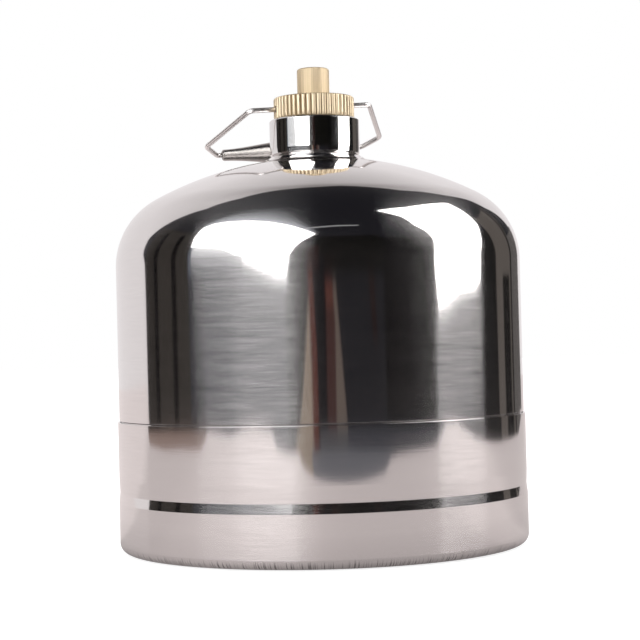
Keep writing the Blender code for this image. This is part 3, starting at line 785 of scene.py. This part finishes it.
flange = [(CAP_RADIUS - CAP_CHAMFER, CAP_FLANGE_TOP), (CAP_RADIUS, CAP_FLANGE_TOP - CAP_CHAMFER),
          (CAP_RADIUS, CAP_FLANGE_BOTTOM + CAP_CHAMFER), (CAP_RADIUS - CAP_CHAMFER, CAP_FLANGE_BOTTOM)]
cap_points = outline([
    (0.0, CAP_TOP), (BOSS_RADIUS - CHAMFER, CAP_TOP, BOSS_ROUNDING),
    (BOSS_RADIUS, CAP_TOP - CHAMFER, BOSS_ROUNDING), (BOSS_RADIUS, CAP_FLANGE_TOP, BOSS_ROUNDING), flange[0]])
for first, second, count in zip(flange, flange[1:], (8, 6, 8)):
    cap_points += between(first, second, count)[1:]
cap_points += outline([
    flange[3], (CAP_SKIRT_RADIUS, CAP_FLANGE_BOTTOM, 0.15 * MM),
    (CAP_SKIRT_RADIUS, CAP_SKIRT_BOTTOM, 0.2 * MM), (CAP_BORE + 0.1 * MM, CAP_SKIRT_BOTTOM)])[1:]
cap_points += between((CAP_BORE, CAP_SKIRT_BOTTOM + 0.1 * MM), (CAP_BORE, HEADROOM), 60)
cap = spin("knurled_cap", cap_points + [(0.0, HEADROOM)], TEETH * 12, cut=knurl)
print(f"cap: {TEETH} ridges, {len(cap.data.vertices)} points before drilling")

# %% [markdown]
# ## Brass that has been handled
#
# Fingers keep the tops of the ridges bright, and the colour darkens towards the knurl's roots:
# partly tarnish that stays there, partly painted shade for the dark that the narrow roots hold.
# The colour follows the depth of the knurl: the distance from the axis says how deep a point lies.
# Upright strokes on the boss come from wiping it, so their noise is squeezed round the axis and
# drawn out along it.

# %% Finish for the cap
def knurled_brass():
    """Satin brass with faint upright strokes, darkened in the knurl's roots by tarnish and painted shade."""
    finish = new_finish("knurled_brass")
    place = finish.place()
    depth = (CAP_RADIUS - place[3]) / KNURL_DEPTH * 0.5
    # Painted shade with tarnish: the knurl's roots are darkened in the colour.
    root_tarnish_and_shade = finish.ramp(depth, (0.10, 0.0), (0.40, 1.0), (0.53, 1.0), (0.57, 0.0))
    strokes = finish.round_noise(place, 22.0, place[2] * 40.0, 2.0, 0.6)
    cloud = finish.noise(finish.position(), 220.0, 3.0, 0.6)
    wiped = finish.ramp(strokes, (0.35, 0.0), (0.65, 1.0))
    bright = finish.blend(wiped, (0.58, 0.48, 0.335), (0.72, 0.61, 0.44))
    satin = finish.ramp(depth, (0.5, 0.52), (0.58, 0.70))
    return finish.surface(finish.principled(
        finish.blend(root_tarnish_and_shade * 0.6, bright, (0.16, 0.10, 0.045)),
        satin + (cloud - 0.5) * 0.08 + (strokes - 0.5) * 0.10, finish.bump(strokes, 0.10, 0.03 * MM)))


# %% [markdown]
# ## The bail's hinge line
#
# The hinge line leans and turns a little, as in the photograph. Its middle and direction are
# those of the joint in the frame, so the holes, the wire and the motion all share one line.

# %% Hinge line and holes
BAIL_DROP = math.radians(20.0)
WIRE_RADIUS = 0.95 * MM
HOLE_BOTTOM = CAP_RADIUS - 5.2 * MM
hinge_x = Vector(joints["bail_swing"]["axis"]).normalized()
level = Vector((0.0, 0.0, 1.0)).cross(hinge_x).normalized()
upright = hinge_x.cross(level)
hinge_y = level * math.cos(BAIL_DROP) - upright * math.sin(BAIL_DROP)
hinge_turn = Matrix((hinge_x, hinge_y, hinge_x.cross(hinge_y))).transposed().to_4x4()
hinge = Matrix.Translation(Vector(joints["bail_swing"]["pos_m"])) @ hinge_turn


def drill(item, side):
    """Cut one of the bail's holes into the cap."""
    length = CAP_RADIUS + CAP_CHAMFER - HOLE_BOTTOM
    bpy.ops.mesh.primitive_cylinder_add(vertices=48, radius=WIRE_RADIUS + GAP, depth=length)
    cutter = bpy.context.object
    centre = Matrix.Translation((side * (HOLE_BOTTOM + 0.5 * length), 0.0, 0.0))
    cutter.matrix_world = hinge @ centre @ Matrix.Rotation(0.5 * math.pi, 4, "Y")
    hole = item.modifiers.new("bail hole", "BOOLEAN")
    hole.operation, hole.solver, hole.object = "DIFFERENCE", "EXACT", cutter
    depsgraph = bpy.context.evaluated_depsgraph_get()
    item.data = bpy.data.meshes.new_from_object(item.evaluated_get(depsgraph))
    item.modifiers.clear()
    bpy.data.objects.remove(cutter)


cap.modifiers.clear()
for side in (-1.0, 1.0):
    drill(cap, side)
cap.data.set_sharp_from_angle(angle=math.radians(40.0))
weigh_normals(cap).modifiers[0].keep_sharp = True
settle(cap, knurled_brass(), "cap", "screw_cap")

# %% [markdown]
# ## The bail
#
# One length of wire is bent into a loop, with its two ends in the cap's holes. The corners are
# the real bends, rounded along the middle of the wire. The grip is a second, finer wire wound
# close round the far side. It swells to a barrel in the middle, and its first and last turns
# tighten until they clamp the bail.

# %% Shape the bail
BAIL_SHIFT = -1.5 * MM
BAIL_BEND = 2.6 * MM
HOLE_END_GAP = 0.4 * MM
ELBOW_REACH = 28.1 * MM
GRIP_REACH = ELBOW_REACH + 8.3 * MM
bail_end = HOLE_BOTTOM + HOLE_END_GAP + 0.5 * WIRE_RADIUS + abs(BAIL_SHIFT)
bail_top = COLLAR_RADIUS + 6.4 * MM
bail_elbow = bail_top + 11.8 * MM
bail_corner = bail_elbow - 5.7 * MM
half = [(bail_end, 0.0), (bail_top, 0.0), (bail_elbow, ELBOW_REACH), (bail_corner, GRIP_REACH)]
corners = [Vector((BAIL_SHIFT - across, out, 0.0)) for across, out in half]
corners += [Vector((BAIL_SHIFT + across, out, 0.0)) for across, out in reversed(half)]
bail_path = [corners[0]]
for before, corner, after in zip(corners, corners[1:], corners[2:]):
    bail_path += round_corner(before, corner, after, BAIL_BEND, 12)
bail_path.append(corners[-1])
bail = tube("bail_loop", [hinge @ p for p in bail_path], WIRE_RADIUS, 24)
settle(bail, drawn_wire("bail_wire_steel", WIRE_STEEL, 0.32), "bail", "bail_wire")

# %% Wind the grip
GRIP_WIRE = 0.22 * MM
GRIP_SLACK = 0.02 * MM
GRIP_BARREL = 4.4 * MM
GRIP_END_GAP = 2.0 * MM
GRIP_END_RADIUS = 2.25 * MM
CLAMP_TURNS = 1.2
grip_length = 2.0 * (bail_corner - GRIP_END_GAP)
grip_turns = int(grip_length / (2.0 * GRIP_WIRE + GRIP_SLACK))
barrel_end = GRIP_END_RADIUS - GRIP_WIRE
clamp = WIRE_RADIUS + GRIP_WIRE + GRIP_SLACK


def barrel(share):
    """Radius of the grip's wire at a share of its length."""
    swell = barrel_end + (GRIP_BARREL - GRIP_WIRE - barrel_end) * 0.5 * (1.0 - math.cos(math.tau * share))
    from_end = min(share, 1.0 - share) * grip_turns
    return clamp + (swell - clamp) * min(1.0, from_end / CLAMP_TURNS) ** 0.7


grip_start = Vector((BAIL_SHIFT - 0.5 * grip_length, GRIP_REACH, 0.0))
grip_path = helix(grip_start, grip_length, grip_turns, 24, barrel)
grip = tube("grip_winding", [hinge @ p for p in grip_path], GRIP_WIRE, 8)
settle(grip, drawn_wire("grip_wire_steel", GRIP_STEEL, 0.24), "bail", "grip_coil")
print(f"grip: {grip_turns} turns of {2 * GRIP_WIRE / MM:.2f} mm wire")

# %% [markdown]
# ## The studio
#
# The panels are placed by the direction in which the canister sees them: an azimuth, 0 towards
# the camera and growing to its right, and a height above the horizon. A direction alone isn't a
# place, so each corner is set out from the spot on the wall or shoulder that mirrors it, at the
# distance that the panel has. The wall is upright, so it mirrors what lies within 3 degrees of
# level, and the shoulder all that is higher. Distance matters: from down at the groove a near
# panel stands higher in the sky than a far one. The camera and the lamps' own light never meet
# the panels, only reflections do. A studio photographer works the same way: each white or black
# card is there for one reflection.

# %% Places that the canister mirrors
SOFTBOX_AWAY, NEAR_SOFTBOX_AWAY, BACKDROP_AWAY, ROOM_AWAY = 0.80, 0.45, 6.0, 9.0
CAMERA_LEVEL = 74.65 * MM
WALL_TOP_SEES = 3.0
ROOM_BLACK = (0.012, 0.012, 0.015)


def direction(azimuth, height):
    """Unit vector towards an azimuth and a height above the horizon, in degrees."""
    a, e = math.radians(azimuth), math.radians(height)
    return Vector((math.sin(a) * math.cos(e), -math.cos(a) * math.cos(e), math.sin(e)))


def place_seen(azimuth, height, distance):
    """The place at a distance that the canister mirrors from a direction."""
    tilt = math.radians(max(height - WALL_TOP_SEES, 0.0)) / 2.0
    spot = direction(azimuth / 2.0, 0.0) * (BODY_RADIUS - SHOULDER_RADIUS * (1.0 - math.cos(tilt)))
    on_wall = CAMERA_LEVEL + (SHOULDER_START - CAMERA_LEVEL) * min(height, WALL_TOP_SEES) / WALL_TOP_SEES
    spot.z = on_wall + SHOULDER_RADIUS * math.sin(tilt)
    return spot + direction(azimuth, height) * distance


print("seen on the shoulder, 20 degrees up:", [round(c, 2) for c in place_seen(0.0, 20.0, SOFTBOX_AWAY)])

# %% Panels
FACET_DEGREES = 6.0


def mirrored(name, points, faces, finish):
    """A sheet that only reflections can see."""
    item = mesh_object(name, points, faces)
    item.data.materials.append(finish)
    for ray in ("camera", "diffuse", "shadow", "volume_scatter"):
        setattr(item, "visible_" + ray, False)
    return item


def panel(name, corners, finish, away=SOFTBOX_AWAY):
    """A flat panel whose corners are given as (azimuth, height) directions."""
    mirrored(name, [place_seen(*c, away) for c in corners], [tuple(range(len(corners)))], finish)


def band(name, left, right, low, high, finish, away):
    """A panel between two azimuths and two heights, curved round the canister."""
    count, rows = (max(1, int(abs(span) / FACET_DEGREES)) for span in (right - left, high - low))
    points = [place_seen(left + (right - left) * i / count, low + (high - low) * j / rows, away)
              for j in range(rows + 1) for i in range(count + 1)]
    mirrored(name, points, net(rows + 1, count + 1), finish)


def even(name, colour, strength=1.0):
    """A finish that gives off an even light."""
    return new_finish(name).glow(colour, strength)


band("dark_room", -183, 183, -20, 90, even("dark_room", ROOM_BLACK), ROOM_AWAY)
panel("dark_ceiling", [(azimuth, 80) for azimuth in range(-180, 180, 20)],
      even("dark_ceiling", ROOM_BLACK), 0.97 * ROOM_AWAY)
panel("ceiling_slit", [(-10.6, 38.2), (27, 41.4), (27, 42.2), (-10.6, 39.2)],
      even("ceiling_slit", (0.7, 0.7, 0.72)))

# %% Backdrop paper behind the canister
finish = new_finish("backdrop_paper")
across, _, up, _ = finish.place()
# Painted shade: the paper's glow is darker high up and darkest behind the middle, where the lamps reach it
# less.
painted_shade_up_high = finish.ramp(up / BACKDROP_AWAY, (0.40, 0.0), (0.80, 1.0))
middle = finish.ramp(across / BACKDROP_AWAY + 0.5, (0.05, 0.30), (0.5, 1.0), (0.95, 0.55))
paper = finish.glow(finish.blend(painted_shade_up_high * middle, (0.875, 0.84, 0.845), (0.31, 0.29, 0.285)))
panel("backdrop", [
    (-109, -6), (-111.5, 0.8), (-115.7, 10.7), (-117, 21), (-114, 34), (-112.6, 41.5), (-111, 53),
    (-129, 64.5), (-159, 64.7), (180, 62), (172.6, 58.8), (147, 56.7), (143, 43), (146, 33), (146, 26),
    (151, 18), (155, 10), (153, 1.3), (153, -6), (180, -6), (-144, -6)], paper, BACKDROP_AWAY)

# %% [markdown]
# ## Softboxes, and the light that spills from them
#
# Two softboxes make the white shapes on the shoulder. Their fabric glows a little past its edge,
# so the left one has a halo on the ceiling, and both have a soft fringe below, 4 to 13 mm deep as
# the canister shows it. Each is a net of points that carry a share of light, which an Attribute
# node reads. One degree of height is 10 mm of the wall, but only a quarter of a millimetre up on
# the shoulder, so a fringe is set out in millimetres and turned back into degrees.

# %% Softboxes
LEFT_SOFTBOX = [
    (-75, 15.9), (-77, 28), (-77.5, 38), (-73.5, 43.5), (-67, 47), (-58, 49.3), (-45, 50.5),
    (-33.9, 49.4), (-17.9, 44.3), (-3.6, 34), (-1, 31), (-9, 21), (-13, 12), (-15, 3.4), (-17, 2.45),
    (-23.6, 2.5), (-30.5, 2.7), (-35.7, 2.85), (-40.6, 3), (-45, 4.6), (-50.3, 10.5), (-55.9, 13.7),
    (-63, 14.8)]
RIGHT_SOFTBOX = [
    (53.5, 61), (85, 59), (123, 48.6), (123, 46.6), (116.5, 34), (114, 27), (109.5, 20.6), (104, 9),
    (101.5, 2.1), (96, 1.8), (84, 1.7), (75, 1.35), (69, 1.2), (67, 2.6), (69, 20), (68, 28), (63.7, 37),
    (63.4, 49)]
panel("left_softbox", LEFT_SOFTBOX, even("left_softbox", (1.0, 1.0, 1.0), 5.0))
panel("right_softbox", RIGHT_SOFTBOX, even("right_softbox", (1.0, 0.985, 0.975), 5.0), NEAR_SOFTBOX_AWAY)

# %% Halo and fringes
WALL_PER_DEGREE, SHOULDER_PER_DEGREE = 10.0, 0.24
FADE_ROWS = 8
HALO_WIDENS, HALO_TOP, HALO_AWAY = 0.12, 88.0, 1.30


def fading(name, points, columns, closed, power, colour, last, away):
    """A net whose light fades from its first row of (azimuth, height) to its last."""
    rows = len(points) // columns
    finish = new_finish(name)
    share = finish.node("ShaderNodeAttribute", {"attribute_name": "share"}).output("Fac")
    item = mirrored(name, [place_seen(*p, away) for p in points], net(rows, columns, closed),
                    finish.glow(finish.blend(share, last, colour)))
    shares = [(1.0 - k / (rows - 1)) ** power for k in range(rows) for _ in range(columns)]
    item.data.attributes.new("share", "FLOAT", "POINT").data.foreach_set("value", shares)


def halo(name, corners, centre, spread, colour):
    """Light that spills round a panel and fades outwards."""
    points = []
    for k in range(FADE_ROWS + 1):
        for azimuth, height in corners:
            rise = max(0.0, height - centre[1]) * spread * k / FADE_ROWS
            turn = (azimuth - centre[0]) * HALO_WIDENS * k / FADE_ROWS * (rise > 0.0)
            points.append((azimuth + turn, min(HALO_TOP, height + rise)))
    fading(name, points, len(corners), True, 2.3, colour, ROOM_BLACK, HALO_AWAY)


def spill(name, edge, colour, last, away):
    """Light that fades downwards from a softbox's lower edge, over so many millimetres of the wall."""
    wall_top = WALL_PER_DEGREE * WALL_TOP_SEES
    points = []
    for k in range(FADE_ROWS + 1):
        for azimuth, height, drop in edge:
            past = max(height - WALL_TOP_SEES, 0.0) * SHOULDER_PER_DEGREE - drop * k / FADE_ROWS
            lower = min(height, WALL_TOP_SEES) * WALL_PER_DEGREE + past
            points.append((azimuth, lower / WALL_PER_DEGREE if lower < wall_top
                           else WALL_TOP_SEES + (lower - wall_top) / SHOULDER_PER_DEGREE))
    fading(name, points, len(edge), False, 2, colour, last, away)


halo("ceiling_glow", LEFT_SOFTBOX, (-42, 32), 1.45, (0.62, 0.65, 0.70))
spill("left_spill", [
    (-74, 15.8, 9), (-63, 14.8, 10), (-55.9, 13.7, 10), (-50.3, 10.5, 9), (-45, 4.6, 7), (-40.6, 3, 5),
    (-35.7, 2.85, 5.5), (-30.5, 2.7, 6), (-23.6, 2.5, 6), (-17, 2.45, 6)],
    (0.90, 0.91, 0.93), (0.088, 0.092, 0.104), 1.0)
spill("right_spill", [(68.8, 1.2, 13), (75, 1.35, 12), (84, 1.7, 9), (96, 1.8, 6), (101.5, 2.1, 4)],
      (0.90, 0.89, 0.89), (0.060, 0.060, 0.068), 0.8)

# %% [markdown]
# ## The room along the horizon
#
# The upright wall mirrors a low, wide slice of the room: dark screens, a red edge, a tan board,
# black gaps. Each is a curved band or, where its sides slant, a flat panel. Those nearer than the
# others overlap them, so the thin ones stand in front.

# %% Bands along the horizon
BANDS = (
    ("screen_left", -112, -76, -20, 32, (0.023, 0.020, 0.017), 1.25),
    ("screen_left_inner", -100, -76, -20, 30, (0.034, 0.030, 0.026), 1.20),
    ("line_left_outer", -103.6, -100.2, -20, 28, (0.0, 0.0, 0.0), 1.12),
    ("line_left_inner", -88.6, -85, -20, 28, (0.0, 0.0, 0.0), 1.12),
    ("grey_left", -76, -17, -20, 4, (0.075, 0.078, 0.088), 1.25),
    ("grey_left_outer", -76, -66, -20, 2.4, (0.035, 0.036, 0.041), 1.20),
    ("blue_grey_left", -76, -60, 2.4, 18, (0.120, 0.135, 0.165), 1.20),
    ("blue_grey_left_inner", -60, -40, 2.4, 16, (0.200, 0.215, 0.250), 1.20),
    ("grey_beside_softbox", -18, -13, -20, 6, (0.008, 0.009, 0.010), 1.20),
    ("dark_alcove", -2, 36, 2.4, 27, (0.004, 0.0038, 0.003), 1.25),
    ("black_door", 36, 47, -20, 24, (0.0, 0.0, 0.0), 1.20),
    ("dark_wall_right", 47, 67, -20, 24, (0.001, 0.001, 0.001), 1.20),
    ("grey_right", 66, 103, -20, 3, (0.060, 0.060, 0.068), 1.25),
    ("grey_right_outer", 93, 103, -20, 2, (0.028, 0.028, 0.031), 1.22),
    ("black_right", 103, 118, -20, 21, (0.006, 0.006, 0.006), 1.20),
    ("brown_right", 117.5, 141, -20, 30, (0.115, 0.102, 0.092), 1.25),
    ("black_post_right", 126, 135.5, -20, 2.2, (0.006, 0.006, 0.006), 1.15),
    ("line_right", 137.6, 140, -20, 30, (0.015, 0.014, 0.013), 1.15),
    ("grey_far_right", 140, 156, -20, 12, (0.110, 0.102, 0.098), 1.20),
    ("warm_boards_left", -111, -63, -20, -2.85, (0.310, 0.225, 0.195), 1.05),
    ("blue_floor_middle", 13, 71, -20, -2.85, (0.048, 0.050, 0.060), 1.08),
    ("grey_floor_middle", -1, 14, -20, -2.85, (0.078, 0.078, 0.084), 1.07),
)
for name, left, right, low, high, colour, away in BANDS:
    band(name, left, right, low, high, even(name, colour), away)
print(len(BANDS), "bands, from", min(b[1] for b in BANDS), "to", max(b[2] for b in BANDS), "degrees")

# %% Slanting boards in front of the canister
BOARDS = (
    ("dark_board", (0.022, 0.021, 0.020), 1.17, [(-13.5, 20), (-6, 20), (-5, -20), (-13.5, -20)]),
    ("olive_board", (0.100, 0.085, 0.068), 1.15,
     [(-12, 2), (-6, 2), (-5, 1), (-3.5, -20), (-16, -20), (-12.8, -2.7)]),
    ("beige_wedge", (0.28, 0.222, 0.170), 1.10,
     [(-6.4, 1.6), (-5.3, 1.6), (-4.3, -2.7), (-4, -9), (-26, -9), (-12.5, -2.7)]),
    ("red_curtain", (0.018, 0.007, 0.006), 1.10, [(-6.5, 15), (0.8, 15), (0.5, 2.5), (-6.5, 2.5)]),
    ("red_edge", (0.095, 0.026, 0.018), 1.05,
     [(-5.7, 2.5), (-3.3, 2.5), (-1.6, -0.3), (-1.6, -9), (-4.6, -9), (-4.6, -0.3)]),
    ("black_gap", (0.004, 0.004, 0.005), 1.15, [(-4, 3), (4, 3), (3, -9), (-3, -9)]),
    ("rust_top", (0.115, 0.040, 0.030), 1.05, [(3.4, 2.1), (7.5, 2.1), (8, 1.3), (4, 1.3)]),
    ("rust_board", (0.055, 0.024, 0.021), 1.10, [(3.8, 1.4), (8.6, 1.4), (7.4, -9), (2.6, -9)]),
    ("tan_wedge", (0.140, 0.112, 0.095), 1.10,
     [(7.8, 2.1), (9.2, 2.1), (13.9, -2.7), (18, -9), (7.4, -9), (7.4, -2.7)]),
    ("faint_red_line", (0.016, 0.007, 0.006), 1.10, [(27.3, 2.3), (30.3, 2.3), (31.5, 0), (29.5, 0)]),
)
for name, colour, away, corners in BOARDS:
    panel(name, corners, even(name, colour), away)
print(len(BOARDS), "boards")

# %% [markdown]
# ## The table in the reflections
#
# The lower shell looks slightly downwards into the table, so the table's edge draws the wavy
# line between the pale skirt and the dark room. Its outline is given as the distance from the
# canister in each direction. Close to the canister it darkens, because there the canister itself
# keeps the light away, and it is brighter under the two softboxes than between them.

# %% The mirrored table
TABLE_EDGE = [
    (-180, 3), (-112, 3), (-106, 0.79), (-104.2, 0.765), (-91.7, 0.715), (-79.2, 0.73), (-66.2, 0.732),
    (-63.9, 0.84), (-61.7, 1.02), (-55, 0.97), (-48.5, 0.92), (-42.3, 1.02), (-35, 1.1), (-25.9, 0.97),
    (-23, 0.76), (-18.7, 0.703), (-11.7, 0.68), (-10.4, 0.573), (-6.3, 0.493), (-2.3, 0.456), (4, 0.436),
    (10.9, 0.429), (18, 0.436), (24.6, 0.454), (30.4, 0.49), (33, 0.54), (34.7, 0.6), (38.6, 0.645),
    (46.3, 0.667), (55, 0.69), (61.2, 0.728), (66.5, 0.91), (69, 1.04), (76, 1.06), (80.7, 0.93),
    (90.3, 0.755), (104.2, 0.7), (123.2, 0.722), (137.4, 0.77), (150, 1.4), (156, 3)]
TABLE_LIGHT = [
    (-180, 0.96), (-112, 0.96), (-105, 0.78), (-80, 0.80), (-66, 0.87), (-50, 0.93), (-30, 1.0), (-17, 1.0),
    (-10, 0.92), (0, 0.82), (10, 0.77), (40, 0.75), (60, 0.79), (68, 0.88), (73, 0.97), (85, 1.0), (97, 1.0),
    (105, 0.87), (112, 0.80), (130, 0.78), (150, 0.78), (180, 0.96)]
BLUE_MAT = [
    (-5.5, 0.70), (-4.6, 0.466), (-2.3, 0.448), (4, 0.428), (10.9, 0.421), (18, 0.428), (24.6, 0.446),
    (30.4, 0.48), (34.7, 0.59), (37, 0.66), (27.3, 0.68), (14, 0.70), (0, 0.70)]


def lay_flat(name, edge, height, finish):
    """A sheet whose edge is given as (azimuth, distance) round the canister, at a height."""
    points = [direction(azimuth, 0.0) * away + Vector((0.0, 0.0, height)) for azimuth, away in edge]
    mirrored(name, points, [tuple(range(len(points)))], finish)


DARK_REACH, FULL_LIGHT_AFTER = 0.07, 0.35
finish = new_finish("mirrored_table")
x, y, _, distance = finish.place()
near = (distance - DARK_REACH) / FULL_LIGHT_AFTER
share = finish.ramp(near, (0.0, 0.0), (0.02, 0.56), (0.09, 0.80), (0.32, 0.96), (1.0, 1.0))
round_about = x.math("ARCTAN2", x, y * -1.0) / math.tau + 0.5
light = finish.ramp(round_about, *[(azimuth / 360.0 + 0.5, level) for azimuth, level in TABLE_LIGHT])
shade = finish.blend(share * light, (0.07, 0.065, 0.065), (0.88, 0.80, 0.79))
lay_flat("mirrored_table", TABLE_EDGE, -0.1 * MM, finish.glow(shade))
lay_flat("blue_mat", BLUE_MAT, 0.5 * MM, even("blue_mat", (0.150, 0.152, 0.170)))
print("table's nearest edge:", min(away for _, away in TABLE_EDGE), "m from the axis")

# %% [markdown]
# ## Floor, world and lamps
#
# The page-white background is the colour of the floor and the world where the camera looks at
# them directly, not extra light. The floor keeps a share of ordinary matt white, so the canister
# still leaves its faint shadow there. The lamps are soft and plain, and don't show in the metal,
# which has its own panels.

# %% Floor and world
WHITE = (1.0, 1.0, 1.0)
floor = mesh_object("floor", [(-6, -6, 0), (6, -6, 0), (6, 6, 0), (-6, 6, 0)], [(0, 1, 2, 3)])
floor.location.z = -0.3 * MM
finish = new_finish("white_floor")
seen = finish.node("ShaderNodeLightPath").output("Is Camera Ray")
matt = finish.node("ShaderNodeBsdfDiffuse", None, {"Color": (0.30, 0.30, 0.30)})
far_off = finish.ramp(finish.place()[3] / 1.2, (0.08, 0.0), (0.60, 1.0))
bright = finish.node("ShaderNodeEmission", None, [WHITE, seen * (far_off * 0.18 + 0.82)])
floor.data.materials.append(finish.surface(finish.node("ShaderNodeAddShader", None, [matt, bright])))
floor.visible_glossy = False

world = bpy.data.worlds.new("studio_air")
bpy.context.scene.world = world
finish = Finish(world)
path = finish.node("ShaderNodeLightPath")
shown = path.output("Is Camera Ray") + path.output("Is Glossy Ray") + path.output("Is Transmission Ray")
strength = shown.math("MINIMUM", shown, 1.0) * 0.5 + 0.5
finish.surface(finish.node("ShaderNodeBackground", None, [WHITE, strength]))
print("floor:", floor.dimensions.x, "m across")

# %% Lamps
LAMP_AWAY, AIM_HEIGHT = 1.2, 0.08


def lamp(name, azimuth, height, size, watts):
    """A soft lamp aimed at the canister."""
    light = bpy.data.lights.new(name, "AREA")
    light.size, light.energy = size, watts
    item = bpy.data.objects.new(name, light)
    item.location = direction(azimuth, height) * LAMP_AWAY + Vector((0.0, 0.0, AIM_HEIGHT))
    item.rotation_euler = direction(azimuth, height).to_track_quat("Z", "Y").to_euler()
    item.visible_glossy = False
    bpy.context.scene.collection.objects.link(item)
    print(f"{name}: {watts:.0f} W")


lamp("left_lamp", -45.0, 35.0, 0.7, 14.0)
lamp("right_lamp", 85.0, 35.0, 0.6, 10.0)
lamp("top_lamp", 170.0, 70.0, 0.9, 12.0)

# %% [markdown]
# ## The camera
#
# The camera stands 635 mm in front of the axis, a little below the middle of the canister, and
# looks almost level. It is rolled by a degree and a half, as the hand-held photograph was, so the
# canister leans slightly to the left. Its two angles are applied as plain vectors: first the
# pitch lifts the view, then the roll turns the frame about it.

# %% Camera
CAMERA = Vector((0.296, -635.36, 74.65)) * MM
SENSOR, FOCAL_PIXELS, FRAME_PIXELS = 36.0, 1700.0, 640.0
PITCH_UP, ROLL = 0.0140, -0.0256
right = Vector((1.0, 0.0, 0.0))
ahead = Vector((0.0, math.cos(PITCH_UP), math.sin(PITCH_UP)))
above = Vector((0.0, -math.sin(PITCH_UP), math.cos(PITCH_UP)))
rolled_right = right * math.cos(ROLL) + above * math.sin(ROLL)
rolled_up = above * math.cos(ROLL) - right * math.sin(ROLL)
camera_data = bpy.data.cameras.new("camera")
camera_data.sensor_width = SENSOR
camera_data.lens = SENSOR * FOCAL_PIXELS / FRAME_PIXELS
camera = bpy.data.objects.new("camera", camera_data)
camera_turn = Matrix((rolled_right, rolled_up, -ahead)).transposed().to_4x4()
camera.matrix_world = Matrix.Translation(CAMERA) @ camera_turn
bpy.context.scene.collection.objects.link(camera)
bpy.context.scene.camera = camera
bpy.context.scene.view_settings.view_transform = "Standard"
print(f"camera: {camera_data.lens:.1f} mm lens, {-CAMERA.y:.3f} m away")
